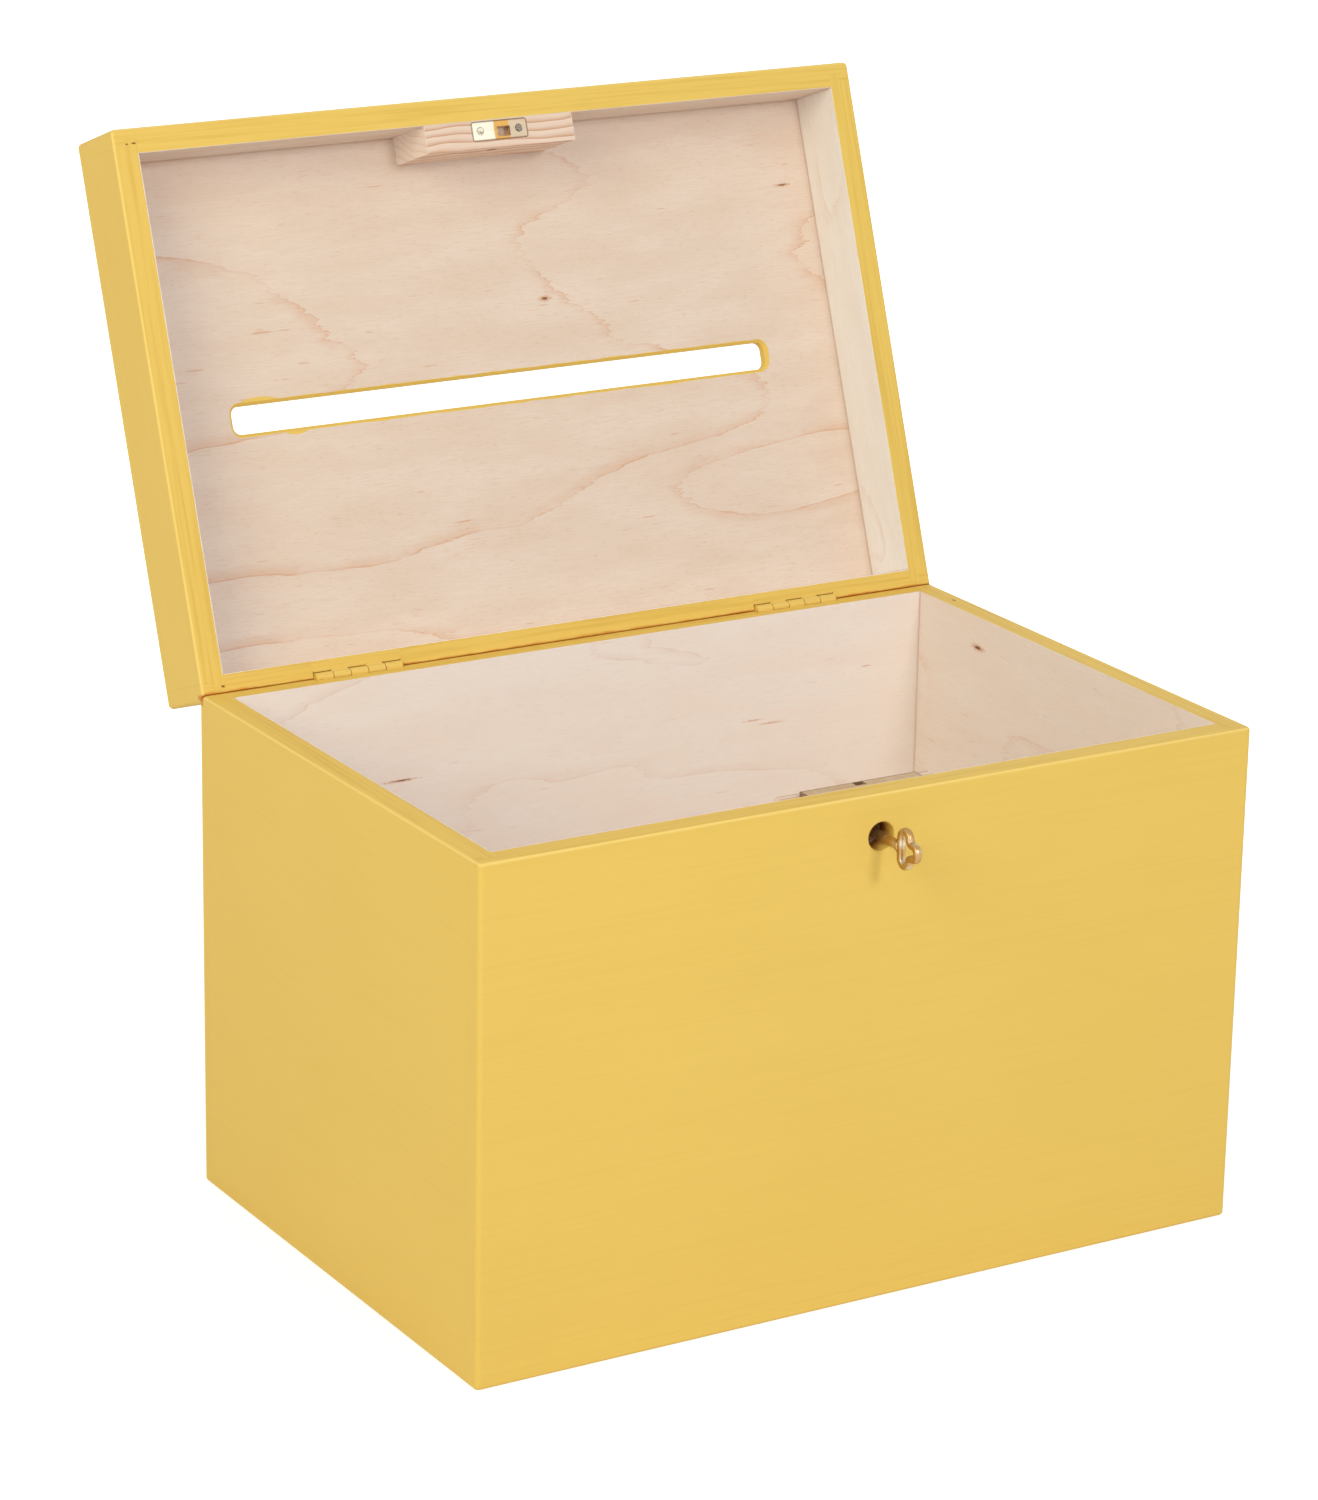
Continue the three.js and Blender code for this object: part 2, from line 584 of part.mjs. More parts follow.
// A bowed strip between the right-hand cheek and the hook's eye, which holds the hook where it is left.
function lockSpring() {
  const end = LOCK_LENGTH / 2 - LOCK_SHEET - SPRING_GAP;
  const start = HOOK_PIVOT_OFFSET + HOOK_EYE_RADIUS + SPRING_GAP;
  const halfSpan = (end - start) / 2;
  const radius = (halfSpan ** 2 + SPRING_SAG ** 2) / (2 * SPRING_SAG);
  const centreX = (start + end) / 2;
  const centreZ = PIVOT_Z - SPRING_SAG + radius;
  const half = Math.asin(halfSpan / radius);
  const shape = new THREE.Shape();
  shape.absarc(centreX, centreZ, radius, -Math.PI / 2 - half, -Math.PI / 2 + half);
  shape.absarc(centreX, centreZ, radius - SPRING_STRIP, -Math.PI / 2 + half, -Math.PI / 2 - half, true);
  return drawn(shape, 'y', HOOK_FRONT, HOOK_BACK, ARC_FACETS);
}

// The pine block that houses the lock, with a pocket open to the wall and to the top.
function lockBlock() {
  const half = BLOCK_LENGTH / 2;
  const top = BODY_HEIGHT - LOCK_BLOCK_DROP;
  const front = FRONT_INSIDE + GLUE_LINE;
  const pocketHalf = LOCK_LENGTH / 2 + LOCK_CLEARANCE;
  const pocketLow = LOCK_TOP - LOCK_HEIGHT - LOCK_CLEARANCE;
  const pocket = block(
    [-pocketHalf, front - OVERCUT, pocketLow],
    [pocketHalf, LOCK_BACK + LOCK_CLEARANCE, top + OVERCUT],
  );
  return block([-half, front, top - LOCK_BLOCK_HEIGHT], [half, FRONT_INSIDE + BLOCK_DEPTH, top])
    .subtract(pocket)
    .subtract(lockScrewHoles());
}

function lockPieces() {
  const pivotFront = LOCK_FRONT + LOCK_SHEET + SHEET_FIT;
  const pivot = rod('y', PIVOT_RADIUS, pivotFront, COVER_FRONT - SHEET_FIT, hookPivot);
  return [
    piece('lock_block', lockBlock(), 'rawWood'),
    piece('lock_case', lockCase(), 'lockMetal'),
    piece('lock_cover', lockCover(), 'lockMetal'),
    piece('lock_hook_pivot', pivot, 'screw'),
    piece('lock_spring', lockSpring(), 'screw'),
    ...Object.entries(lockScrewXs).map(([side, x]) => (
      piece(`lock_screw_${side}`, laidScrew(woodScrew, x), 'screw')
    )),
    piece('lock_hub', lockHub(), 'brass'),
    piece('lock_hook', lockHook(), 'nickel'),
  ];
}

// Keeper in the lid, drawn closed with the rim at height 0
const keeperScrewXs = { left: -KEEPER_SCREW_PITCH / 2, right: KEEPER_SCREW_PITCH / 2 };

function keeperScrew(shape, x) {
  return shape.mirror([0, 0, 1]).translate([x, KEEPER_Y, 0]);
}

function keeperPieces() {
  const half = BLOCK_LENGTH / 2;
  const back = FRONT_INSIDE + BLOCK_DEPTH;
  const bedLength = KEEPER_LENGTH + 2 * KEEPER_BED_GAP;
  const bedWidth = KEEPER_WIDTH + 2 * KEEPER_BED_GAP;
  const mouthHalf = KEEPER_MOUTH_WIDTH / 2;
  const screws = keeperScrew(screwHole, keeperScrewXs.left).add(keeperScrew(screwHole, keeperScrewXs.right));
  const plateShape = roundedRect(KEEPER_LENGTH, KEEPER_WIDTH, KEEPER_CORNER, 0, KEEPER_Y);
  const bedShape = roundedRect(bedLength, bedWidth, KEEPER_CORNER, 0, KEEPER_Y);
  const mouth = block(
    [KEEPER_MOUTH[0], HOOK_MIDDLE - mouthHalf, -OVERCUT],
    [KEEPER_MOUTH[1], HOOK_MIDDLE + mouthHalf, KEEPER_THICKNESS + OVERCUT],
  );
  const plate = drawn(plateShape, 'z', 0, KEEPER_THICKNESS).subtract(mouth).subtract(screws);
  const hookRoom = block(
    [HOOK_ROOM[0], HOOK_MIDDLE - mouthHalf, 0],
    [HOOK_ROOM[1], HOOK_MIDDLE + mouthHalf, HOOK_ROOM_HEIGHT],
  );
  const drillPlace = [DRILL_HOLE_X, DRILL_HOLE_HEIGHT];
  const drillHole = rod('y', DRILL_HOLE_RADIUS, back - DRILL_HOLE_DEPTH, back + OVERCUT, drillPlace);
  const keeperBlock = block([-half, FRONT_INSIDE + GLUE_LINE, 0], [half, back, LID_INSIDE - GLUE_LINE])
    .subtract(drawn(bedShape, 'z', -OVERCUT, KEEPER_THICKNESS + SHEET_FIT))
    .subtract(hookRoom)
    .subtract(drillHole)
    .subtract(screws);
  return [
    piece('keeper_block', keeperBlock, 'rawWood'),
    piece('keeper_plate', plate, 'nickel'),
    ...Object.entries(keeperScrewXs).map(([side, x]) => (
      piece(`keeper_screw_${side}`, keeperScrew(woodScrew, x), 'screw')
    )),
  ];
}

// Key
// The bow is a band along three lobes: one ahead of the shaft, and two beside it on a straight back.
// It is drawn along the key from the front panel's face, and across. The lobes' circles meet at a point
// that lies so far along the line between their middles, and so far to its outer side.
const asideX = SHAFT_OUT + ASIDE_RADIUS;
const aheadX = asideX + LOBE_AHEAD;
const lobeSpan = Math.hypot(LOBE_AHEAD, LOBE_ASIDE);
const meetAlong = (lobeSpan ** 2 + ASIDE_RADIUS ** 2 - AHEAD_RADIUS ** 2) / (2 * lobeSpan);
const meetOut = Math.sqrt(ASIDE_RADIUS ** 2 - meetAlong ** 2);
const meetX = asideX + (meetAlong * LOBE_AHEAD + meetOut * LOBE_ASIDE) / lobeSpan;
const meetY = LOBE_ASIDE + (meetOut * LOBE_AHEAD - meetAlong * LOBE_ASIDE) / lobeSpan;
const aheadReach = Math.atan2(meetY, meetX - aheadX);
const asideReach = Math.atan2(meetY - LOBE_ASIDE, meetX - asideX);

// The outer line runs round the lobes, and from the back it flares into the shaft.
function bowOutline() {
  const flareX = SHAFT_OUT - FLARE_LENGTH;
  const shape = new THREE.Shape();
  shape.absarc(aheadX, 0, AHEAD_RADIUS, -aheadReach, aheadReach);
  shape.absarc(asideX, LOBE_ASIDE, ASIDE_RADIUS, asideReach, Math.PI);
  shape.quadraticCurveTo(SHAFT_OUT, FLARE_END, flareX, FLARE_END);
  shape.lineTo(flareX, -FLARE_END);
  shape.quadraticCurveTo(SHAFT_OUT, -FLARE_END, SHAFT_OUT, -LOBE_ASIDE);
  shape.absarc(asideX, -LOBE_ASIDE, ASIDE_RADIUS, Math.PI, 2 * Math.PI - asideReach);
  return shape;
}

// The opening lies a band's width inside the lobes, and rounds the two points where they meet.
function bowOpening() {
  const radius = ASIDE_RADIUS - BOW_BAND;
  const path = new THREE.Path();
  path.absarc(aheadX, 0, AHEAD_RADIUS - BOW_BAND, -aheadReach, aheadReach);
  path.absarc(meetX, meetY, BOW_BAND, Math.PI + aheadReach, Math.PI + asideReach, true);
  path.absarc(asideX, LOBE_ASIDE, radius, asideReach, Math.PI);
  path.absarc(asideX, -LOBE_ASIDE, radius, Math.PI, 2 * Math.PI - asideReach);
  path.absarc(meetX, -meetY, BOW_BAND, Math.PI - asideReach, Math.PI - aheadReach, true);
  return path;
}

function key() {
  const bow = bowOutline();
  bow.holes.push(bowOpening());
  const bowSolid = solid(new THREE.ExtrudeGeometry(bow, {
    depth: BOW_THICKNESS - 2 * BOW_ROUND,
    bevelSize: BOW_ROUND,
    bevelOffset: -BOW_ROUND,
    bevelThickness: BOW_ROUND,
    bevelSegments: BOW_ROUND_FACETS,
    curveSegments: BOW_CURVE_FACETS,
  }));
  const bitFront = HUB_FRONT + BIT_END_GAP;
  const bitBack = HUB_BACK - HUB_WEB - BIT_END_GAP;
  const half = BIT_WIDTH / 2;
  const shaft = rod('y', SHAFT_RADIUS, FRONT - SHAFT_OUT - BOW_OVERLAP, bitBack, hubAxis);
  const bit = block([-half, bitFront, KEY_Z - BIT_RADIUS], [half, bitBack, KEY_Z]);
  const upright = bowSolid
    .translate([0, 0, BOW_ROUND - BOW_THICKNESS / 2])
    .rotate([90, 0, -90])
    .translate([0, FRONT, KEY_Z]);
  return shaft.add(bit).add(upright);
}

// The assembled box. The lid's group turns about the hinge axis.
const cardBox = new THREE.Group();
cardBox.add(...bodyPieces(), ...bodyHingePieces(), ...lockPieces(), piece('key', key(), 'brass'));

const lid = new THREE.Group();
lid.position.set(0, HINGE_Y, HINGE_Z);
lid.rotation.x = -degrees(OPEN_ANGLE);
const lidOnHinge = new THREE.Group();
lidOnHinge.position.set(0, -HINGE_Y, CLOSED_GAP / 2);
lidOnHinge.add(...lidPieces(), ...lidHingePieces(), ...keeperPieces());
lid.add(lidOnHinge);
cardBox.add(lid);

export default cardBox;
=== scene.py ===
"""A painted plywood card box with its lid open, finished piece by piece around its solids."""

import json
import math
from functools import partial, partialmethod

import bmesh
import bpy
import numpy as np
from bpy.props import FloatProperty, FloatVectorProperty, PointerProperty
from mathutils import Matrix, Vector


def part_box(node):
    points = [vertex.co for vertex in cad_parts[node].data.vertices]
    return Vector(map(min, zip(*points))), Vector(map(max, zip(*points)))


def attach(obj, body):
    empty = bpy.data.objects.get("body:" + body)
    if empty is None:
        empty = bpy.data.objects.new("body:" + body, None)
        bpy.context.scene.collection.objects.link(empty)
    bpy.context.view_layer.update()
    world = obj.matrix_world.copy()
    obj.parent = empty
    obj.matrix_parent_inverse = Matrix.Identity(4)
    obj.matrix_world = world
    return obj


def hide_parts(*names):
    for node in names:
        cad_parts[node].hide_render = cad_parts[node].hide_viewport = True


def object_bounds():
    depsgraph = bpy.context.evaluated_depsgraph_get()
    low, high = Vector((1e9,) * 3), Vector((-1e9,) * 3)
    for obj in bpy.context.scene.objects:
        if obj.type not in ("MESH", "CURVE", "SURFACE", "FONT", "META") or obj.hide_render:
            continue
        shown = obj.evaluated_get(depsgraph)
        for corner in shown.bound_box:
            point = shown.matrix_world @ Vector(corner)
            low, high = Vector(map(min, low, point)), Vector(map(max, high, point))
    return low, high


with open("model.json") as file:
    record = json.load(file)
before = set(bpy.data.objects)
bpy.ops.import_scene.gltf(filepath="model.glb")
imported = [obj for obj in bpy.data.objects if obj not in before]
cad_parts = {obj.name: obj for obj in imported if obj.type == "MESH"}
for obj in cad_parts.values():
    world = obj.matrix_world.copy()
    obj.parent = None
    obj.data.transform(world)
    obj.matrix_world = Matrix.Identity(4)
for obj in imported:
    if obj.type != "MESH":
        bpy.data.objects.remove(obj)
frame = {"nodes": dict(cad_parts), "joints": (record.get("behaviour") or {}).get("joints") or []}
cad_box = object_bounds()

bl_info = {
    "name": "Card Box",
    "version": (1, 0, 0),
    "blender": (4, 5, 0),
    "location": "View3D > Sidebar > Card Box",
    "description": "Finishes a painted plywood card box with a lock and a trefoil key",
    "category": "Add Mesh",
}

MM = 0.001


def mm(*sizes):
    """Millimetres as metres."""
    return tuple(size * MM for size in sizes)


# Sizes and places read from the solids
NODES = frame["nodes"]
JOINTS = {joint["name"]: joint for joint in frame["joints"]}
FRONT_LOW, FRONT_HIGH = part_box("front_panel")
HALF_WIDTH = FRONT_HIGH.x
HALF_DEPTH = -FRONT_LOW.y
WALL = FRONT_HIGH.y - FRONT_LOW.y
BODY_TOP = FRONT_HIGH.z
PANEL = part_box("bottom_panel")[1].z
HINGE = Vector(JOINTS["lid_hinge"]["pos_m"])
OPEN_ANGLE = math.radians(JOINTS["lid_hinge"]["range_deg"][1])
KEY_AXIS = Vector(JOINTS["key_turn"]["pos_m"])
KEY_LOW, KEY_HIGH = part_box("key")
RIM_GAP = HINGE.z - BODY_TOP

# Measures of the lid, in its own frame: the hinge line is the origin and the lid lies closed
LID_PANEL_IN = 25 * MM + RIM_GAP
SLOT_CENTRE = (0.0, 3 * MM - HINGE.y, 0.0)
SLOT_HALF = (110 * MM, 5 * MM)
SLOT_CORNER = 3 * MM
KEEPER_CENTRE = (0.0, 12.8 * MM - HALF_DEPTH - HINGE.y, 0.0)
KEEPER_HALF = (11.2 * MM, 3.4 * MM)

# What several finishes share. A relief is a strength and a depth
SATIN = 0.12
FILM_RELIEF = 0.25, 0.08 * MM
BRUSHED_RELIEF = 0.3, 0.1 * MM
METAL_RELIEF = 0.12, 0.05 * MM

# Sockets that several effects share: what a finish puts out, and what a growth field takes and puts out
LOOK = {"Color": "Color", "Roughness": "Float", "Height": "Float"}
GROWTH = {"Vector": "Vector", "Rings": "Float"}, {"Field": "Float"}

# A small mark's half size in mm the way through its board, where only the face counts
THROUGH = 9

# Where paint has run in lumps past the slot's edge on the inside, each a middle and a half size
SLOT_LUMPS = (
    ((-99 * MM, SLOT_CENTRE[1] - 5.2 * MM, LID_PANEL_IN), mm(8, 2.3, THROUGH)),
    ((-86 * MM, SLOT_CENTRE[1] + 5.2 * MM, LID_PANEL_IN), mm(5, 2.1, THROUGH)),
)

# Hills and hollows of the growth field under the lid's top, in mm of the lid's own frame:
# the middle along and across the grain, the reach along and across it, and the height in growth lines
LID_GROUND = 0.2
LID_HILLS = (
    ((-158, -123), (140, 46), 1.80),
    ((-51, -172), (140, 24), 1.08),
    ((-100, -57), (140, 80), 1.14),
    ((48, -90), (69, 36), 1.80),
    ((42, -95), (53, 27), -1.26),
    ((79, -70), (43, 13), 0.81),
    ((92, -54), (54, 18), -1.30),
    ((167, -129), (98, 27), -0.45),
    ((-104, -2), (108, 31), -1.29),
)


def srgb(red, green, blue):
    """An 8-bit display colour as the linear one that shaders use."""
    shares = np.array([red, green, blue]) / 255
    return tuple(((shares + 0.055) / 1.055) ** 2.4)


def length(label, text, millimetres):
    """A size that a user may change."""
    return FloatProperty(
        name=label, description=text, default=millimetres * MM, min=0, precision=5, unit="LENGTH",
    )


def colour(label, text, default):
    """A colour that a user may change."""
    return FloatVectorProperty(name=label, description=text, default=default, subtype="COLOR", min=0, max=1)


def number(label, text, default, unit="NONE"):
    """A number that a user may change."""
    return FloatProperty(name=label, description=text, default=default, unit=unit)


def angle(label, text, degrees):
    """An angle that a user may change."""
    return FloatProperty(name=label, description=text, default=math.radians(degrees), subtype="ANGLE")


class BoxFinish(bpy.types.PropertyGroup):
    """Colours and measures of the box's finishes."""

    paint: colour("Paint", "Satin paint outside and on the rims", srgb(236, 201, 104))
    deep_paint: colour("Deep paint", "Paint that fills the grain", srgb(219, 180, 82))
    # The edge highlight is a painted highlight: paler paint along the outer edges of the rims.
    edge_highlight: colour("Edge paint", "Paler paint along the outer edges", srgb(246, 217, 132))
    birch: colour("Birch", "Bare veneer inside the body", srgb(250, 241, 235))
    blush: colour("Blush", "Warmer fibres inside the body", srgb(248, 233, 223))
    lid_birch: colour("Lid birch", "Bare veneer under the lid's top", srgb(233, 216, 203))
    lid_blush: colour("Lid blush", "Warmer fibres under the lid's top", srgb(223, 199, 181))
    rail_birch: colour("Rail birch", "Bare birch on the lid's rails", srgb(247, 245, 244))
    rail_blush: colour("Rail blush", "Warmer fibres on the lid's rails", srgb(242, 233, 226))
    ring: colour("Ring line", "Growth lines and pores", srgb(208, 138, 80))
    # The knot colour is also painted shade on the lock and along the keeper plate's edge.
    knot_and_shade: colour("Knot", "Pin knots in the veneer", srgb(120, 82, 58))
    # The pit colour is also painted shade, dark deep in the keyhole's bore.
    pit_and_shade: colour("Pit", "Open pits in the paint", srgb(122, 64, 22))
    # The stain colour is paint rubbed through at the hinge line, and painted shade in the hinge gap and in
    # the keyhole's bore.
    stain_and_shade: colour("Stain", "Wood showing through rubbed paint", srgb(206, 126, 36))
    # The seam colour is glue, and painted shade in the inner corners where two boards meet.
    seam: colour("Seam", "Glue where two boards meet inside", srgb(190, 142, 104))
    pine: colour("Pine", "Bare softwood of the two blocks", srgb(238, 217, 202))
    pine_line: colour("Pine line", "Summer wood in the blocks", srgb(198, 146, 108))
    brass: colour("Brass", "Cast brass of the key", srgb(186, 148, 94))
    worn_brass: colour("Worn brass", "Pale metal where the key is rubbed", srgb(210, 198, 174))
    gilt: colour("Gilt", "Yellow metal round the keeper's mouth", srgb(214, 166, 90))
    dull_plate: colour("Dull plate", "The keeper's duller end", srgb(206, 186, 158))
    lock_sheet: colour("Lock sheet", "Dull pressed sheet of the lock", srgb(200, 168, 128))
    nickel: colour("Nickel", "Plate of the keeper and the hook", srgb(238, 230, 208))
    steel: colour("Steel", "Screws and spring", srgb(150, 142, 128))
    overspill: length("Overspill", "How far paint runs past the slot", 1.2)


class KeyShape(bpy.types.PropertyGroup):
    """Sizes of the key."""

    lobe_aside: length("Lobe aside", "From the shaft's line to a lobe beside it", 3.45)
    lobe_ahead: length("Lobe ahead", "From those lobes to the one ahead", 4.8)
    aside_radius: length("Aside radius", "Radius of a lobe beside the shaft, to mid band", 2.45)
    ahead_radius: length("Ahead radius", "Radius of the lobe ahead, to mid band", 2.25)
    neck_radius: length("Neck radius", "Radius of the bend between two lobes", 1.9)
    band: length("Band", "Width of the bow's band", 2.5)
    thickness: length("Thickness", "Thickness of the bow", 2.7)
    flare: length("Flare", "Length of the shaft's widening into the bow", 2.5)
    shaft_radius: length("Shaft radius", "Radius of the shaft", 1.7)
    bit_width: length("Bit width", "Width of the bit", 1.7)
    bit_reach: length("Bit reach", "From the shaft's middle to the end of the bit", 4.6)


class StudioSetup(bpy.types.PropertyGroup):
    """Camera, lamps and floor."""

    eye: FloatVectorProperty(
        name="Eye", description="Where the camera stands", subtype="TRANSLATION", unit="LENGTH",
        default=(-0.8657, -1.3902, 0.7004),
    )
    azimuth: angle("Azimuth", "Camera's turn round the box", -31.15)
    elevation: angle("Elevation", "Camera's height above the horizon", 18.09)
    roll: angle("Roll", "Camera's turn about its own axis", 1.05)
    lens: number("Lens", "Focal length", 120.7, "CAMERA")
    sky: number("Sky", "Strength of the soft light all round", 0.6)
    front_lamp: number("Front lamp", "Power of the lamp above the front", 10.2, "POWER")
    side_lamp: number("Side lamp", "Power of the lamp on the left", 16.5, "POWER")
    side_tint: colour("Side tint", "Colour of the lamp on the left", (1.0, 0.925, 0.63))
    floor: colour("Floor", "Pale floor", (0.8, 0.8, 0.8))
    floor_glow: number("Floor glow", "What lifts the seen floor to white", 0.6)


class Graph:
    """A node tree written as nested calls. Each call adds a node and gives back what it puts out."""

    def __init__(self, tree):
        self.tree = tree

    def feed(self, socket, value):
        """Links an output to a socket, or sets the socket's own value."""
        if isinstance(value, bpy.types.NodeSocket):
            self.tree.links.new(value, socket)
        elif socket.type == "RGBA":
            socket.default_value = (*value, 1.0)
        else:
            socket.default_value = value

    def add(self, kind, *values, named=None, **settings):
        """A node with its settings made, and its inputs fed in order and by name."""
        node = self.tree.nodes.new("ShaderNode" + kind)
        for setting, value in settings.items():
            setattr(node, setting, value)
        for socket, value in zip(node.inputs, values):
            self.feed(socket, value)
        for label, value in (named or {}).items():
            self.feed(node.inputs[label], value)
        return node

    def math(self, operation, *values):
        """One number worked out from others."""
        return self.add("Math", *values, operation=operation).outputs[0]

    times = partialmethod(math, "MULTIPLY")
    plus = partialmethod(math, "ADD")
    minus = partialmethod(math, "SUBTRACT")

    def most(self, first, *others):
        """The greatest of some numbers."""
        for other in others:
            first = self.math("MAXIMUM", first, other)
        return first

    def vector(self, operation, *values):
        """One vector worked out from others."""
        return self.add("VectorMath", *values, operation=operation).outputs[0]

    def reach(self, vector):
        """How long a vector is."""
        return self.add("VectorMath", vector, operation="LENGTH").outputs["Value"]

    def ease(self, value, low, high):
        """0 below low, 1 above high, and a smooth rise between. It falls where high is the lower one."""
        node = self.add("MapRange", value, low, high, 0.0, 1.0, interpolation_type="SMOOTHSTEP")
        return node.outputs[0]

    def span(self, value, low, high):
        """A number from low to high, for a share from 0 to 1."""
        return self.add("MapRange", value, 0.0, 1.0, low, high).outputs[0]

    def noise(self, vector, along, across, detail=2.0, roughness=0.5):
        """Smooth noise from 0 to 1, with so many features in a metre along X and across it."""
        scaled = self.vector("MULTIPLY", vector, (along, across, across))
        node = self.add("TexNoise", scaled, named={"Scale": 1.0, "Detail": detail, "Roughness": roughness})
        return node.outputs[0]

    def mix(self, factor, first, second):
        """First colour where the factor is 0, second where it is 1."""
        node = self.add("Mix", factor, data_type="RGBA")
        self.feed(node.inputs[6], first)
        self.feed(node.inputs[7], second)
        return node.outputs[2]

    def split(self, vector):
        """The three numbers of a vector."""
        return self.add("SeparateXYZ", vector).outputs[:]

    def join(self, *numbers):
        """A vector of three numbers."""
        return self.add("CombineXYZ", *numbers).outputs[0]

    def group(self, name, **given):
        """A shared effect with its own values. Underscores in a name stand for spaces."""
        node = self.add("Group", node_tree=bpy.data.node_groups[name])
        for label, value in given.items():
            self.feed(node.inputs[label.replace("_", " ")], value)
        return node.outputs


def effect(name, inputs, outputs):
    """A new shader node group, with the graph in it, its input sockets and a call that feeds its outputs."""
    tree = bpy.data.node_groups.new(name, "ShaderNodeTree")
    for label, kind in inputs.items():
        tree.interface.new_socket(label, in_out="INPUT", socket_type="NodeSocket" + kind)
    for label, kind in outputs.items():
        tree.interface.new_socket(label, in_out="OUTPUT", socket_type="NodeSocket" + kind)
    graph = Graph(tree)
    given = tree.nodes.new("NodeGroupInput").outputs
    result = tree.nodes.new("NodeGroupOutput").inputs

    def give(**values):
        for label, value in values.items():
            graph.feed(result[label], value)

    return graph, given, give


def make_spot_effect():
    """Spot: 1 inside a small ellipse that lies along the grain, fading at its ragged edge."""
    inputs = {"Vector": "Vector", "Place": "Vector", "Half Size": "Vector"}
    graph, given, give = effect("Spot", inputs, {"Mask": "Float"})
    offset = graph.vector("SUBTRACT", given["Vector"], given["Place"])
    distance = graph.reach(graph.vector("DIVIDE", offset, given["Half Size"]))
    ragged = graph.plus(distance, graph.noise(given["Vector"], 900, 1400))
    outer, core = 1.5, 0.9
    give(Mask=graph.ease(ragged, outer, core))


def make_growth_effect():
    """Growth Field: a slow field whose contours are growth lines, drawn out along X and rising across it."""
    graph, given, give = effect("Growth Field", *GROWTH)
    slow = graph.noise(given["Vector"], 6.0, 13.0, roughness=0.35)
    lines_per_metre = 1.6
    rise = graph.times(graph.split(given["Vector"])[1], lines_per_metre)
    give(Field=graph.times(graph.plus(slow, rise), given["Rings"]))


def make_lid_growth_effect():
    """Lid Growth: the sum of a few hills and hollows, with slow noise over it. A hill is a bell curve, the
    exponential of minus the squared distance from its middle, counted in reaches. The sum's contours are
    growth lines."""
    graph, given, give = effect("Lid Growth", *GROWTH)
    waver = graph.noise(given["Vector"], 22.0, 48.0)
    most_waver, any_depth = 0.16, 1000.0
    total = graph.span(waver, LID_GROUND - most_waver, LID_GROUND + most_waver)
    for middle, reach, height in LID_HILLS:
        offset = graph.vector("SUBTRACT", given["Vector"], mm(*middle, 0.0))
        share = graph.vector("DIVIDE", offset, (*mm(*reach), any_depth))
        squared = graph.add("VectorMath", share, share, operation="DOT_PRODUCT").outputs["Value"]
        bell = graph.math("EXPONENT", graph.times(squared, -1.0))
        total = graph.math("MULTIPLY_ADD", bell, height, total)
    give(Field=graph.times(total, given["Rings"]))


def make_veneer_effect(name, growth):
    """A birch veneer: growth lines are contours of a growth field, with fibres that fray them along X.
    A point's distance from the line below it, in mm, is the field's fraction over the field's slope.
    Over them lie short pores, fine fibres, dark dashes and slow clouds. Boldness scales lines and specks."""
    inputs = {
        "Vector": "Vector", "Birch": "Color", "Blush": "Color", "Ring": "Color", "Rings": "Float",
        "Boldness": "Float",
    }
    graph, given, give = effect(name, inputs, LOOK)
    where = given["Vector"]
    fray = graph.minus(graph.noise(where, 60, 620, detail=3.0, roughness=0.65), 0.5)
    most_fray, step, line_width, glow_width = 14 * MM, 1 * MM, 1.1, 5.5
    frayed = graph.vector("ADD", where, graph.join(graph.times(fray, most_fray), 0.0, 0.0))

    def field(*shift):
        moved = graph.vector("ADD", frayed, shift)
        return graph.group(growth, Vector=moved, Rings=given["Rings"])["Field"]

    here = field(0, 0, 0)
    rises = [graph.minus(there, here) for there in (field(step, 0, 0), field(0, step, 0))]
    slope = graph.math("SQRT", graph.plus(*(graph.math("POWER", rise, 2.0) for rise in rises)))
    away = graph.math("DIVIDE", graph.math("FRACT", here), slope)
    patchy = graph.ease(graph.noise(where, 40, 110, detail=3.0), 0.36, 0.64)
    line = graph.times(graph.ease(away, line_width, 0.2), graph.span(patchy, 0.16, 0.5))
    glow = graph.times(graph.ease(away, glow_width, 0.0), graph.span(patchy, 0.05, 0.24))
    drawn = graph.times(graph.most(line, glow), given["Boldness"])

    fibre = graph.noise(where, 110, 1700, detail=3.0, roughness=0.7)
    pore = graph.ease(graph.noise(where, 300, 2300, detail=1.0), 0.6, 0.74)
    dash = graph.ease(graph.noise(where, 70, 700, detail=1.0), 0.75, 0.81)
    cloud = graph.noise(where, 22, 85, detail=4.0, roughness=0.6)
    toned = graph.mix(graph.times(graph.ease(cloud, 0.3, 0.75), 0.6), given["Birch"], given["Blush"])
    fibred = graph.mix(graph.times(graph.ease(fibre, 0.42, 0.8), 0.7), toned, given["Blush"])
    specks = graph.most(graph.times(pore, 0.2), graph.times(dash, 0.45))
    marks = graph.times(specks, given["Boldness"])
    lined = graph.mix(drawn, fibred, given["Ring"])
    give(
        Color=graph.mix(marks, lined, given["Ring"]),
        Roughness=graph.span(fibre, 0.6, 0.78),
        Height=graph.minus(graph.times(fibre, 0.5), pore),
    )


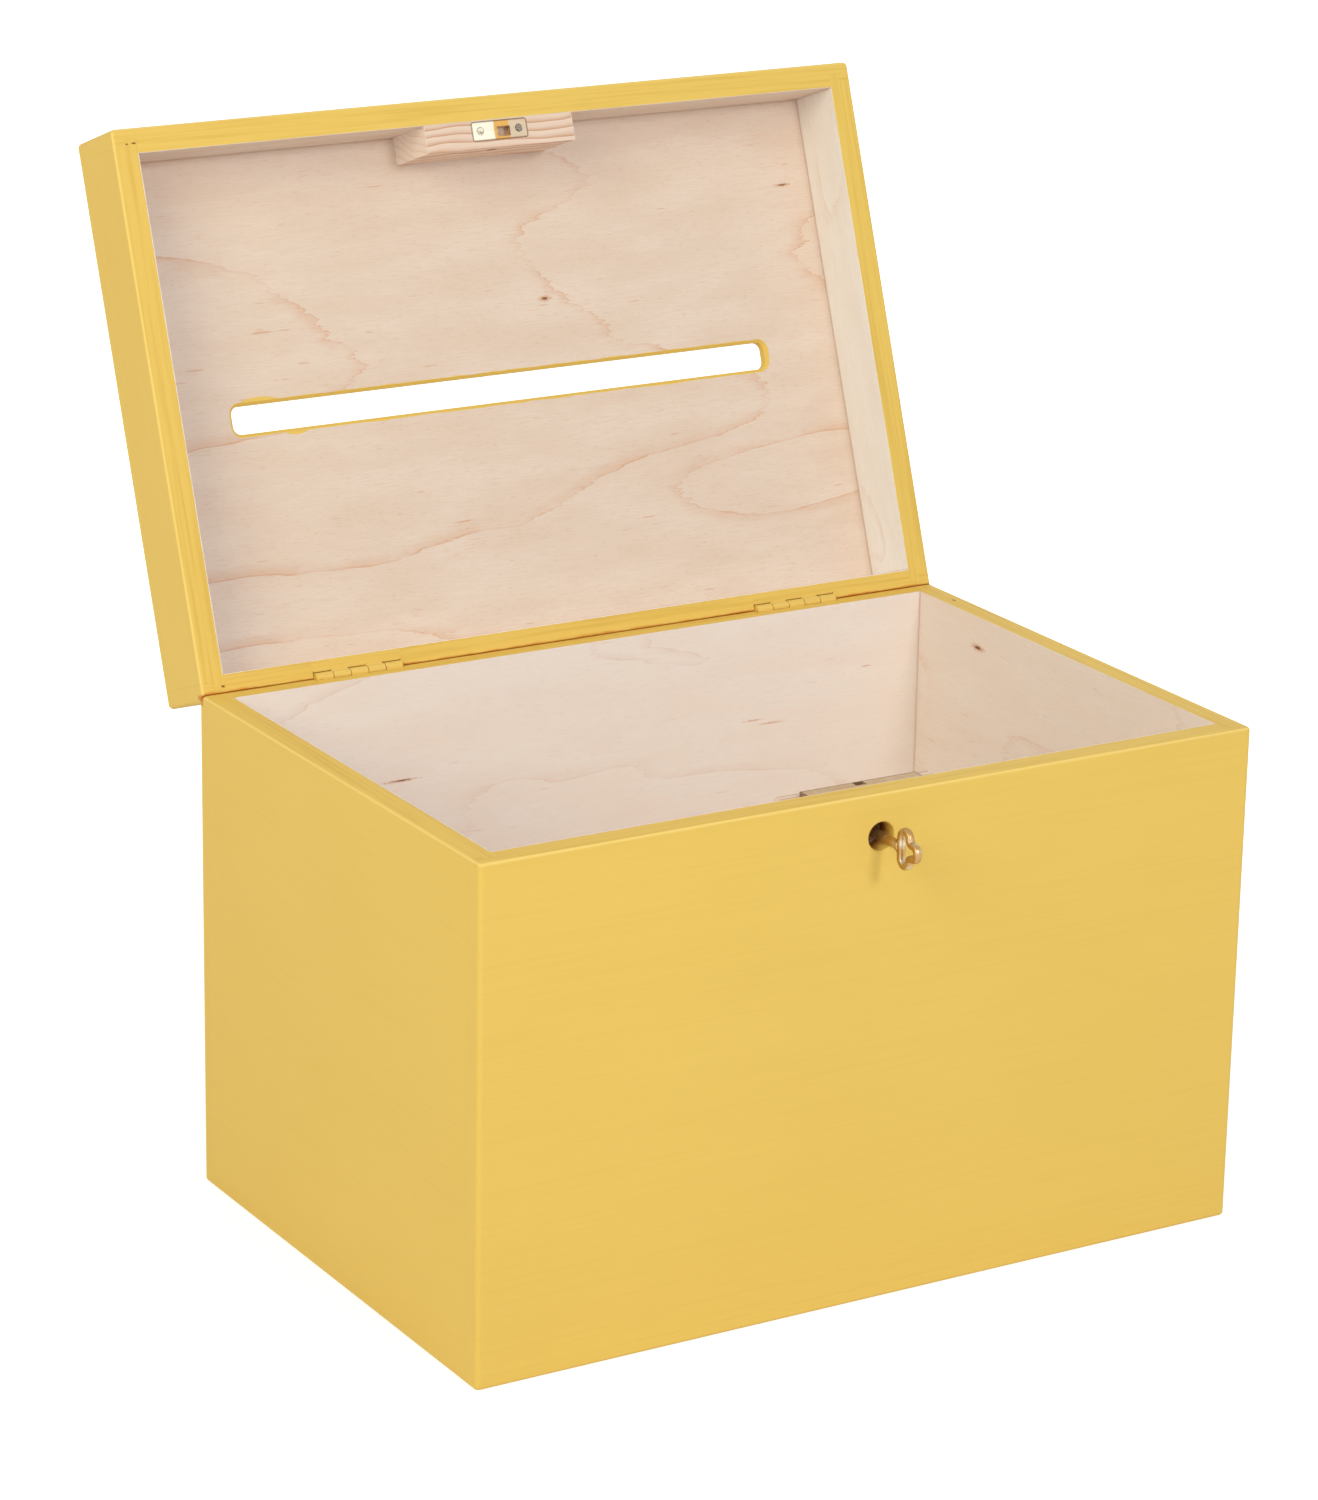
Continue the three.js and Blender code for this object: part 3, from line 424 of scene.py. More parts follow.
def make_paint_effect():
    """Paint Film: satin paint with the grain under it showing as streaks along X, and slow clouds of tone.
    Grain says how much of the wood's grain shows."""
    inputs = {"Vector": "Vector", "Paint": "Color", "Deep": "Color", "Grain": "Float"}
    graph, given, give = effect("Paint Film", inputs, LOOK)
    where = given["Vector"]
    streak = graph.noise(where, 16, 760, detail=3.0, roughness=0.62)
    cloud = graph.noise(where, 14, 22, detail=3.0)
    stipple = graph.noise(where, 650, 650)
    shown = graph.times(graph.ease(streak, 0.42, 0.72), given["Grain"])
    tone = graph.plus(shown, graph.span(cloud, -0.06, 0.2))
    give(
        Color=graph.mix(tone, given["Paint"], given["Deep"]),
        Roughness=graph.span(stipple, 0.42, 0.56),
        Height=graph.minus(graph.times(stipple, 0.25), shown),
    )


def make_bare_inside_effect():
    """Bare Inside: the mask is 1 on faces that lie on or within an inner box, where no paint reaches, and 0
    outside it. Its edge wanders by a hair, as a cut in paint does. The seam is 1 along the box's edges,
    where two of its sides are near at once."""
    inputs = {"Vector": "Vector", "Middle": "Vector", "Half Size": "Vector"}
    graph, given, give = effect("Bare Inside", inputs, {"Mask": "Float", "Seam": "Float"})
    offset = graph.vector("ABSOLUTE", graph.vector("SUBTRACT", given["Vector"], given["Middle"]))
    beyond = graph.split(graph.vector("SUBTRACT", offset, given["Half Size"]))
    wander = graph.span(graph.noise(given["Vector"], 300, 300), 0.05 * MM, 0.35 * MM)
    seam_width = 0.8 * MM
    near = [graph.ease(distance, -seam_width, -seam_width / 4) for distance in beyond]
    pairs = [graph.times(near[i], near[i - 1]) for i in range(3)]
    give(Mask=graph.math("LESS_THAN", graph.most(*beyond), wander), Seam=graph.most(*pairs))


def make_pine_effect():
    """Softwood: straight lines of summer wood across Y, wavering along X, with fine fibres."""
    inputs = {"Vector": "Vector", "Pine": "Color", "Line": "Color"}
    graph, given, give = effect("Softwood", inputs, LOOK)
    where = given["Vector"]
    waver = graph.noise(where, 25, 60)
    lean, lines_per_metre, most_waver = 0.45, 330.0, 2.2
    across = graph.plus(graph.split(where)[1], graph.times(graph.split(where)[2], lean))
    wavering = graph.times(waver, most_waver)
    share = graph.math("FRACT", graph.math("MULTIPLY_ADD", across, lines_per_metre, wavering))
    summer = graph.math("POWER", share, 3.0)
    fibre = graph.noise(where, 90, 2200)
    tone = graph.plus(graph.times(summer, 0.9), graph.times(fibre, 0.25))
    give(
        Color=graph.mix(tone, given["Pine"], given["Line"]),
        Roughness=graph.span(fibre, 0.6, 0.75),
        Height=graph.plus(summer, fibre),
    )


def make_metal_effect():
    """Handled Metal: a metal with pale rubbed patches and fine scratches. Dullness adds to its roughness."""
    inputs = {
        "Vector": "Vector", "Metal": "Color", "Rubbed": "Color", "Scratch": "Vector", "Dullness": "Float",
    }
    graph, given, give = effect("Handled Metal", inputs, LOOK)
    where = given["Vector"]
    patch = graph.ease(graph.noise(where, 260, 260, detail=3.0), 0.45, 0.7)
    scratch = graph.noise(graph.vector("MULTIPLY", where, given["Scratch"]), 1, 1)
    give(
        Color=graph.mix(patch, given["Metal"], given["Rubbed"]),
        Roughness=graph.plus(graph.span(scratch, 0.16, 0.34), given["Dullness"]),
        Height=scratch,
    )


EFFECTS = (
    make_spot_effect, make_growth_effect, make_lid_growth_effect,
    partial(make_veneer_effect, "Birch Veneer", "Growth Field"),
    partial(make_veneer_effect, "Lid Veneer", "Lid Growth"),
    make_paint_effect, make_bare_inside_effect, make_pine_effect, make_metal_effect,
)


class Surface(Graph):
    """The graph of a new material, with its shader and its piece's coordinates, in the rest frame or in the
    lid's own: closed, with the hinge line as origin. Constants go straight to the shader."""

    def __init__(self, name, on_lid=False, **constants):
        self.material = bpy.data.materials.new(name)
        self.material.use_nodes = True
        super().__init__(self.material.node_tree)
        self.shader = self.tree.nodes["Principled BSDF"]
        self.place = self.add("TexCoord").outputs["Object"]
        if on_lid:
            turn = (-OPEN_ANGLE, 0, 0)
            self.place = self.add("Mapping", self.place, HINGE, turn, vector_type="TEXTURE").outputs[0]
        self.shade(**constants)

    def shade(self, **values):
        """Feeds the shader. Underscores in a name stand for spaces."""
        for label, value in values.items():
            self.feed(self.shader.inputs[label.replace("_", " ")], value)

    def coat(self, tone, roughness, height, relief):
        """Feeds the shader, with relief from a height of 0 to 1, and gives back the material."""
        bump = self.add("Bump", named={"Strength": relief[0], "Distance": relief[1], "Height": height})
        self.shade(Base_Color=tone, Roughness=roughness, Normal=bump.outputs[0])
        return self.material


def paint_film(graph, place, finish, grain):
    """The box's paint, with so much of the grain showing."""
    return graph.group("Paint Film", Vector=place, Paint=finish.paint, Deep=finish.deep_paint, Grain=grain)


def handled_metal(graph, base, rubbed, scratch, dullness):
    """A metal with rubbed patches and so many scratches in a metre along each axis."""
    return graph.group(
        "Handled Metal", Vector=graph.place, Metal=base, Rubbed=rubbed, Scratch=scratch, Dullness=dullness,
    )


def grain_vector(graph, grain, seed):
    """Coordinates with the grain along X, shifted by a seed so that no two boards are alike.
    The grain is named by its long axis and the axis across it."""
    numbers = dict(zip("xyz", graph.split(graph.place)))
    through = (set("xyz") - set(grain)).pop()
    turned = graph.join(numbers[grain[0]], numbers[grain[1]], numbers[through])
    return graph.vector("ADD", turned, (seed, 2 * seed, 3 * seed))


def slot_distance(graph):
    """How far a point of the lid lies outside the slot: the distance from a rounded rectangle."""
    offset = graph.vector("ABSOLUTE", graph.vector("SUBTRACT", graph.place, SLOT_CENTRE))
    core = (SLOT_HALF[0] - SLOT_CORNER, SLOT_HALF[1] - SLOT_CORNER, 1.0)
    beyond = graph.vector("MAXIMUM", graph.vector("SUBTRACT", offset, core), (0, 0, 0))
    return graph.minus(graph.reach(beyond), SLOT_CORNER)


def between(first, second, share):
    """A colour on the way from one to another."""
    return tuple(np.array(first) * (1 - share) + np.array(second) * share)


def spotted(graph, base, spots, spot_colour, spread=1.0, share=0.9):
    """A colour with spots laid over it. A spot is a place and a half size, which is spread so many times."""
    for spot_place, spot_half in spots:
        wide = tuple(spread * half for half in spot_half)
        mask = graph.group("Spot", Vector=graph.place, Place=spot_place, Half_Size=wide)["Mask"]
        base = graph.mix(graph.times(mask, share), base, spot_colour)
    return base


def hinge_wear_and_shade(graph, hinge_y, from_rim):
    """How much the paint is rubbed through along the hinge line, with painted shade in the gap there: most
    at the rim's back edge, with a ragged front that comes and goes along the line, and nothing deeper in the
    bevel."""
    uneven = 0.9 * MM
    ragged = graph.span(graph.noise(graph.place, 130, 500, detail=3.0), -uneven, uneven)
    behind = graph.plus(graph.minus(graph.split(graph.place)[1], hinge_y), ragged)
    patchy = graph.span(graph.ease(graph.noise(graph.place, 14, 1), 0.35, 0.6), 0.5, 1.0)
    near = graph.times(graph.ease(behind, -0.8 * MM, 0.0), graph.ease(behind, 1.5 * MM, 0.7 * MM))
    return graph.times(graph.times(near, patchy), graph.ease(from_rim, 4 * MM, 3 * MM))


def plywood(
    name, finish, grain, seed, woods, rings=5.0, boldness=0.45, figure="Birch Veneer",
    knots=(), flecks=(), warm_shade_spots=(), pits_and_shade=(), on_lid=False, slotted=False, hinged=False,
):
    """Painted plywood with a bare veneer of two woods inside. Knots and faint flecks lie in the veneer, and
    pits in the paint.
    Warm and dark spots of painted shade may lie in the paint too, and a painted highlight runs along the
    outer edges of the rim. Along the hinge line the paint is rubbed through, with painted shade in the gap,
    and glue and painted shade darken the inner seams. Round a slot, paint runs past its edge by a distance
    that wanders, and further in a few lumps, which are ellipses."""
    graph = Surface(name, on_lid, Specular_IOR_Level=SATIN)
    place = graph.place
    inner = Vector((HALF_WIDTH - WALL, HALF_DEPTH - WALL, 0))
    if on_lid:
        middle, half = (0, -HINGE.y, 0), (*inner.xy, LID_PANEL_IN)
        rim_height, hinge_y = RIM_GAP, 0.0
    else:
        middle, half = (0, 0, BODY_TOP), (*inner.xy, BODY_TOP - PANEL)
        rim_height, hinge_y = BODY_TOP, HINGE.y
    inside = graph.group("Bare Inside", Vector=place, Middle=middle, Half_Size=half)
    bare = inside["Mask"]
    wood_place = grain_vector(graph, grain, seed)
    veneer = graph.group(
        figure, Vector=wood_place, Birch=woods[0], Blush=woods[1], Ring=finish.ring, Rings=rings,
        Boldness=boldness,
    )
    from_rim = graph.math("ABSOLUTE", graph.minus(graph.split(place)[2], rim_height))
    shown = graph.span(graph.ease(from_rim, 1.5 * MM, 0.6 * MM), 0.1, 0.6)
    film = paint_film(graph, wood_place, finish, shown)
    if slotted:
        wander = graph.span(graph.noise(place, 120, 120, detail=3.0), 0.4, 1.6)
        run = graph.times(wander, finish.overspill)
        bare = graph.times(bare, graph.math("GREATER_THAN", slot_distance(graph), run))
        for lump_place, lump_half in SLOT_LUMPS:
            offset = graph.vector("DIVIDE", graph.vector("SUBTRACT", place, lump_place), lump_half)
            bare = graph.times(bare, graph.math("GREATER_THAN", graph.reach(offset), 1.0))
    flecked = spotted(graph, veneer["Color"], flecks, finish.ring, share=0.5)
    haloed = spotted(graph, flecked, knots, finish.ring, spread=2.2, share=0.5)
    wood = spotted(graph, haloed, knots, finish.knot_and_shade)
    seam_share, edge_share = 0.3, 0.8
    # Glue and painted shade darken the wood along the inner seams.
    wood = graph.mix(graph.times(inside["Seam"], seam_share), wood, finish.seam)
    beside, ahead, _ = graph.split(graph.vector("ABSOLUTE", graph.vector("SUBTRACT", place, middle)))
    from_side = graph.math("MINIMUM", graph.minus(HALF_WIDTH, beside), graph.minus(HALF_DEPTH, ahead))
    # A painted highlight: paler paint along the outer edges of the rim.
    edge = graph.ease(graph.most(from_rim, from_side), 1.0 * MM, 0.4 * MM)
    edged = graph.mix(graph.times(edge, edge_share), film["Color"], finish.edge_highlight)
    # Warm spots of painted shade, then pits; the pits list also carries dark painted shade deep in the
    # keyhole's bore.
    warm_shaded = spotted(graph, edged, warm_shade_spots, finish.stain_and_shade, share=0.7)
    paint = spotted(graph, warm_shaded, pits_and_shade, finish.pit_and_shade)
    # Along the hinge line the paint is rubbed through, and painted shade darkens the gap.
    if hinged:
        paint = graph.mix(hinge_wear_and_shade(graph, hinge_y, from_rim), paint, finish.stain_and_shade)
    roughness = graph.span(bare, film["Roughness"], veneer["Roughness"])
    height = graph.span(bare, film["Height"], veneer["Height"])
    return graph.coat(graph.mix(bare, paint, wood), roughness, height, FILM_RELIEF)


def softwood(name, finish, on_lid):
    """Bare softwood with its grain along X and ends made paler as painted light. In the lid, the hook's room
    is painted a pale yellow, as painted light against its shade.
    """
    graph = Surface(name, on_lid)
    place = graph.place
    pine = graph.group("Softwood", Vector=place, Pine=finish.pine, Line=finish.pine_line)
    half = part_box("keeper_block")[1].x
    # The ends are made paler as painted light.
    ends = graph.ease(graph.math("ABSOLUTE", graph.split(place)[0]), half - 0.2 * MM, half - 0.05 * MM)
    end_light_share = 0.6
    end_lit_pine = graph.mix(graph.times(ends, end_light_share), pine["Color"], finish.birch)
    if on_lid:
        # Painted light: the hook's room is lifted to a pale yellow against its shade.
        room = (1.6 * MM, KEEPER_CENTRE[1], 7 * MM), mm(8, 5, 7.5)
        end_lit_pine = spotted(graph, end_lit_pine, [room], between(finish.gilt, finish.birch, 0.6))
    return graph.coat(end_lit_pine, pine["Roughness"], pine["Height"], BRUSHED_RELIEF)


def painted_metal(name, finish):
    """Paint brushed over thin metal, rubbed through in a few small spots."""
    graph = Surface(name)
    film = paint_film(graph, graph.place, finish, grain=0.4)
    rubbed = graph.ease(graph.noise(graph.place, 420, 900, detail=3.0), 0.66, 0.74)
    graph.shade(Metallic=rubbed)
    tone = graph.mix(rubbed, film["Color"], finish.lock_sheet)
    return graph.coat(tone, film["Roughness"], film["Height"], BRUSHED_RELIEF)


def paint_skin(name, finish, on_lid):
    """Paint that runs over a rim and what is let into it."""
    graph = Surface(name, on_lid, Specular_IOR_Level=SATIN)
    film = paint_film(graph, graph.place, finish, grain=0.5)
    return graph.coat(film["Color"], film["Roughness"], film["Height"], FILM_RELIEF)


def keeper_metal(name, finish):
    """The keeper plate: bright at its left end, which is a painted glint, yellow where its mouth is rubbed
    and dull at its right end.
    Its edge is painted dark, as shade."""
    graph = Surface(name, on_lid=True, Metallic=1.0)
    place = graph.place
    along, across, _ = graph.split(graph.vector("SUBTRACT", place, KEEPER_CENTRE))
    to_end = graph.minus(graph.math("ABSOLUTE", along), KEEPER_HALF[0])
    to_side = graph.minus(graph.math("ABSOLUTE", across), KEEPER_HALF[1])
    edge = graph.ease(graph.most(to_end, to_side), -0.6 * MM, -0.1 * MM)
    wander = graph.span(graph.noise(place, 300, 300, detail=3.0), -0.5 * MM, 0.5 * MM)
    shifted = graph.plus(along, wander)
    mouth_x, dark_share = 0.9 * MM, 0.7
    from_mouth = graph.math("ABSOLUTE", graph.minus(shifted, mouth_x))
    # The bright left end is a painted glint.
    plated = graph.mix(graph.ease(shifted, 3 * MM, 4.4 * MM), finish.nickel, finish.dull_plate)
    scratch = graph.noise(place, 60, 1500)
    gilded = graph.mix(graph.ease(from_mouth, 3.5 * MM, 2.7 * MM), plated, finish.gilt)
    # Painted shade along the plate's edge.
    edged = graph.mix(graph.times(edge, dark_share), gilded, finish.knot_and_shade)
    return graph.coat(edged, graph.span(scratch, 0.22, 0.4), scratch, METAL_RELIEF)


def metal(name, base, rubbed, scratch=(900, 900, 900), dullness=0.0):
    """Plain metal, handled for a long time."""
    graph = Surface(name, Metallic=1.0)
    handled = handled_metal(graph, base, rubbed, scratch, dullness)
    return graph.coat(handled["Color"], handled["Roughness"], handled["Height"], METAL_RELIEF)


def lock_metal(name, finish):
    """Dull pressed sheet, painted dark as shade along the edges of the lock's top and below the top, where
    the case is seen through the keyhole.
    """
    graph = Surface(name, Metallic=0.5)
    scratch, dullness = (60, 60, 1800), 0.15
    handled = handled_metal(graph, finish.lock_sheet, finish.dull_plate, scratch, dullness)
    low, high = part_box("lock_case")
    offset = graph.vector("ABSOLUTE", graph.vector("SUBTRACT", graph.place, (low + high) / 2))
    beyond = graph.split(graph.vector("SUBTRACT", offset, (high - low) / 2))
    edge = graph.ease(graph.most(beyond[0], beyond[1]), -0.9 * MM, -0.3 * MM)
    below = graph.ease(graph.split(graph.place)[2], high.z - 0.6 * MM, high.z - 1.4 * MM)
    # Painted shade in the knot colour along the top's edges and below the top.
    shade_share = 0.65
    painted_shade = graph.times(graph.most(edge, below), shade_share)
    tone = graph.mix(painted_shade, handled["Color"], finish.knot_and_shade)
    return graph.coat(tone, handled["Roughness"], handled["Height"], METAL_RELIEF)


def dress(nodes, material):
    """Gives solids their finish."""
    for name in nodes:
        mesh = NODES[name].data
        mesh.materials.clear()
        mesh.materials.append(material)


def grid_faces(rows, columns, close_rows=False):
    """Faces of a grid of points counted row by row. Its rows are rings, and may make a ring."""
    row = np.arange(rows if close_rows else rows - 1)[:, None]
    column = np.arange(columns)[None, :]
    next_row, next_column = (row + 1) % rows, (column + 1) % columns
    corners = (row * columns + column, row * columns + next_column,
               next_row * columns + next_column, next_row * columns + column)
    return np.stack(np.broadcast_arrays(*corners), -1).reshape(-1, 4)


def arc(centre, radius, start, end, steps):
    """Points of a circle in a plane from one angle to another, the last one left out."""
    turn = np.linspace(start, end, steps, endpoint=False)
    return np.stack([centre[0] + radius * np.cos(turn), centre[1] + radius * np.sin(turn)], -1)


def bow_line(shape, steps=18):
    """The middle line of the bow, along the key and across it. Three lobes lie on circles, one ahead and two
    aside. Small bends that curve the other way join the one ahead to the others: a bend's middle lies where
    circles wider by its radius meet. A straight back joins the two aside. The lower half is a mirror."""
    ring, neck = shape.aside_radius, shape.neck_radius
    ahead, aside = np.array([shape.lobe_ahead, 0]), np.array([0, shape.lobe_aside])
    span = np.linalg.norm(ahead - aside)
    towards = (ahead - aside) / span
    along = (span ** 2 + (ring + neck) ** 2 - (shape.ahead_radius + neck) ** 2) / (2 * span)
    out = math.sqrt((ring + neck) ** 2 - along ** 2)
    bend = aside + along * towards + out * np.array([-towards[1], towards[0]])
    ahead_reach = math.atan2(bend[1], bend[0] - ahead[0])
    aside_reach = math.atan2(bend[1] - aside[1], bend[0])
    upper = np.concatenate([
        arc(ahead, shape.ahead_radius, 0, ahead_reach, steps),
        arc(bend, neck, math.pi + ahead_reach, math.pi + aside_reach, steps),
        arc(aside, ring, aside_reach, math.pi, 2 * steps),
        np.linspace(aside - (ring, 0), (-ring, 0), steps // 3),
    ])
    return np.concatenate([upper, upper[-2:0:-1] * (1, -1)])


def rounded_section(half_width, half_height, steps=20, square=2.8):
    """A superellipse: an ellipse whose sides are drawn out towards a rectangle."""
    turn = np.linspace(0, 2 * math.pi, steps, endpoint=False)
    wide, high = np.cos(turn), np.sin(turn)
    return np.stack([
        half_width * np.sign(wide) * np.abs(wide) ** (2 / square),
        half_height * np.sign(high) * np.abs(high) ** (2 / square),
    ], -1)


def bow_surface(shape, middle_y):
    """The bow: a rounded section carried round its middle line, which lies in the plane across X."""
    line = bow_line(shape)
    ahead = np.roll(line, -1, 0) - np.roll(line, 1, 0)
    ahead /= np.linalg.norm(ahead, axis=1, keepdims=True)
    outward = np.stack([ahead[:, 1], -ahead[:, 0]], -1)
    section = rounded_section(shape.band / 2, shape.thickness / 2)
    flat = line[:, None, :] + outward[:, None, :] * section[None, :, :1]
    side = np.broadcast_to(section[None, :, 1], flat.shape[:2])
    points = np.stack([side, middle_y - flat[..., 0], KEY_AXIS.z + flat[..., 1]], -1)
    return points.reshape(-1, 3), grid_faces(len(line), len(section), close_rows=True)


def shaft_surface(shape, back_y):
    """The shaft: an ellipse carried along Y. It is a circle as far as the flare. There its height follows a
    parabola out to the lobes beside it, and its thickness falls to the bow's, which it ends in."""
    radius, inner_y, chamfer = shape.shaft_radius, KEY_HIGH.y, 0.3 * MM
    tip = radius - chamfer
    end = [(inner_y, 0, 0), (inner_y, tip, tip), (inner_y - chamfer, radius, radius)]
    share = np.linspace(0, 1, 12)
    end_thick, sunk_thick = 0.46 * shape.thickness, 0.3 * shape.thickness
    flare = np.stack([
        back_y + shape.flare * (1 - share) ** 2,
        radius + (end_thick - radius) * share,
        radius + (shape.lobe_aside - radius) * share ** 2,
    ], -1)
    sunk_y = back_y - shape.band / 2
    sunk = [(sunk_y, sunk_thick, shape.lobe_aside / 2), (sunk_y, 0, 0)]
    along, thick, high = np.concatenate([end, flare, sunk]).T[..., None]
    turn = np.linspace(0, 2 * math.pi, 28, endpoint=False)
    points = np.stack(np.broadcast_arrays(thick * np.cos(turn), along, KEY_AXIS.z + high * np.sin(turn)), -1)
    return points.reshape(-1, 3), grid_faces(len(along), len(turn))


def bit_surface(shape):
    """The bit: a rounded section of its width and length, carried down from the shaft and closed below."""
    back, length_y = KEY_HIGH.y, 1.4 * MM
    section = rounded_section(shape.bit_width / 2, length_y / 2, square=8)
    drop = np.array([0.0, 0.0, shape.bit_reach - 0.2 * MM, shape.bit_reach, shape.bit_reach])
    share = np.array([0.0, 1.0, 1.0, 0.9, 0.0])
    x = share[:, None] * section[None, :, 0]
    y = back - length_y / 2 + share[:, None] * section[None, :, 1]
    z = np.broadcast_to(KEY_AXIS.z - drop[:, None], x.shape)
    return np.stack([x, y, z], -1).reshape(-1, 3), grid_faces(len(drop), len(section))


def leaf_skin(leaf, on_lid):
    """Paint over one hinge leaf: a flat rounded section across Y, half sunk in the rim, carried along X and
    drawn in at both ends. For the lid it is mirrored at the hinge line's height and opened with the lid."""
    low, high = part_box(leaf)
    margin, groove, depth = 0.6 * MM, 2.3 * MM, 0.04 * MM
    front, back = low.y - margin, HINGE.y - groove
    section = rounded_section((back - front) / 2, depth, steps=32, square=6)
    x = np.array([low.x - margin] * 2 + [low.x, high.x] + [high.x + margin] * 2)[:, None]
    share = np.array([0, 0.85, 1, 1, 0.85, 0])[:, None]
    y = (front + back) / 2 + share * section[:, 0]
    z = BODY_TOP + share * section[:, 1]
    points = np.stack(np.broadcast_arrays(x, y, z), -1).reshape(-1, 3)
    if on_lid:
        opened = np.array(Matrix.Rotation(-OPEN_ANGLE, 3, "X"))
        points = (points - HINGE) * (1, 1, -1) @ opened.T + HINGE
    return points, grid_faces(len(x), len(section))


def add_object(name, data):
    """A new object in the scene."""
    item = bpy.data.objects.new(name, data)
    bpy.context.scene.collection.objects.link(item)
    return item


def new_piece(name, surfaces, material, smooth=True):
    """One mesh object of several closed surfaces, its place in its mesh and its faces outwards."""
    starts = np.cumsum([0] + [len(points) for points, _ in surfaces])
    points = np.concatenate([points for points, _ in surfaces])
    faces = np.concatenate([faces + start for (_, faces), start in zip(surfaces, starts)])
    mesh = bpy.data.meshes.new(name)
    mesh.from_pydata(points, [], faces.tolist())
    merged = bmesh.new()
    merged.from_mesh(mesh)
    bmesh.ops.remove_doubles(merged, verts=merged.verts, dist=0.001 * MM)
    bmesh.ops.recalc_face_normals(merged, faces=merged.faces)
    merged.to_mesh(mesh)
    merged.free()
    mesh.polygons.foreach_set("use_smooth", np.full(len(mesh.polygons), smooth))
    mesh.materials.append(material)
    return add_object(name, mesh)


class CARDBOX_OT_body(bpy.types.Operator):
    """Paints the body's panels and leaves their inner faces as bare birch"""

    bl_idname = "card_box.body"
    bl_label = "Body panels"

    def execute(self, context):
        finish = context.scene.box_finish
        pale, warmer = (finish.birch, finish.blush), (finish.lid_birch, finish.lid_blush)
        warmth = 0.3
        back_y, right_x = HALF_DEPTH - WALL, HALF_WIDTH - WALL
        bore = KEY_AXIS.x, 9 * MM - HALF_DEPTH, KEY_AXIS.z
        marks = {
            "front_panel": {
                # Painted shade in the keyhole's bore: warmer all through, and dark from mid-depth inwards.
                "warm_shade_spots": [(bore, mm(10, 8.5, 10))],
                "pits_and_shade": [(bore, mm(12, 5, 12))],
            },
            "back_panel": {
                "knots": [((-0.0764, back_y, 0.140), mm(4.5, THROUGH, 0.35))],
                "flecks": [
                    ((0.077, back_y, 0.1385), mm(7, THROUGH, 0.5)),
                    ((0.069, back_y, 0.1405), mm(6, THROUGH, 0.4)),
                    ((0.118, back_y, 0.1545), mm(3, THROUGH, 0.4)),
                ],
                # Rubbed paint and painted shade along the hinge gap.
                "hinged": True,
            },
            "right_panel": {
                "knots": [((right_x, 0.052, 0.1685), mm(THROUGH, 2.6, 0.8))],
                "pits_and_shade": [((0.1455, 0.075, BODY_TOP), mm(0.7, 1.4, 2))],
                "woods": [between(*pair, warmth) for pair in zip(pale, warmer)],
            },
        }
        boards = {"front": "xz", "back": "xz", "left": "yz", "right": "yz", "bottom": "xy"}
        for seed, (side, grain) in enumerate(boards.items(), start=1):
            name = f"{side}_panel"
            own = {"woods": pale, **marks.get(name, {})}
            dress([name], plywood(f"{name}_paint", finish, grain, seed, **own))
        return {"FINISHED"}


class CARDBOX_OT_lid(bpy.types.Operator):
    """Paints the lid's panel and rails and leaves their inner faces as bare birch"""

    bl_idname = "card_box.lid"
    bl_label = "Lid panels"

    def execute(self, context):
        finish = context.scene.box_finish
        knots = [
            ((0.021, -0.124, LID_PANEL_IN), mm(1.7, 0.7, THROUGH)),
            ((0.129, -0.156, LID_PANEL_IN), mm(2.2, 0.4, THROUGH)),
        ]
        pits_and_shade = [
            ((-0.1417, -2.2 * MM, RIM_GAP), mm(1.0, 0.6, 2)),
            ((-0.1422, -0.1909, RIM_GAP), mm(1.0, 0.5, 2)),
            ((-0.1449, -0.1907, RIM_GAP), mm(0.6, 0.4, 2)),
        ]
        woods = finish.lid_birch, finish.lid_blush
        top = plywood(
            "lid_top_panel_paint", finish, "xy", 0, woods, rings=1.0, boldness=1.0, figure="Lid Veneer",
            knots=knots, on_lid=True, slotted=True,
        )
        dress(["lid_top_panel"], top)
        rail_woods = finish.rail_birch, finish.rail_blush
        rails = {"front": "xz", "back": "xz", "left": "yz", "right": "yz"}
        for seed, (side, grain) in enumerate(rails.items(), start=7):
            # The back rail gets rubbed paint and painted shade along the hinge gap.
            rail = plywood(
                f"lid_{side}_rail_paint", finish, grain, seed, woods if side == "front" else rail_woods,
                pits_and_shade=pits_and_shade, on_lid=True, hinged=side == "back",
            )
            dress([f"lid_{side}_rail"], rail)
        return {"FINISHED"}


class CARDBOX_OT_hinges(bpy.types.Operator):
    """Paints over the hinges, and closes their seats in the rims with paint"""

    bl_idname = "card_box.hinges"
    bl_label = "Hinges"

    def execute(self, context):
        finish = context.scene.box_finish
        painted = painted_metal("hinge_paint", finish)
        dress([name for name in NODES if name.startswith("hinge_")], painted)
        leaves = ("hinge_left_body_leaf", "hinge_right_body_leaf")
        for body, on_lid in (("box", False), ("lid", True)):
            skin = paint_skin(f"hinge_skin_{body}_paint", finish, on_lid)
            surfaces = [leaf_skin(leaf, on_lid) for leaf in leaves]
            piece = new_piece(f"hinge_skin_{body}", surfaces, skin, smooth=False)
            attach(piece, body)
        return {"FINISHED"}


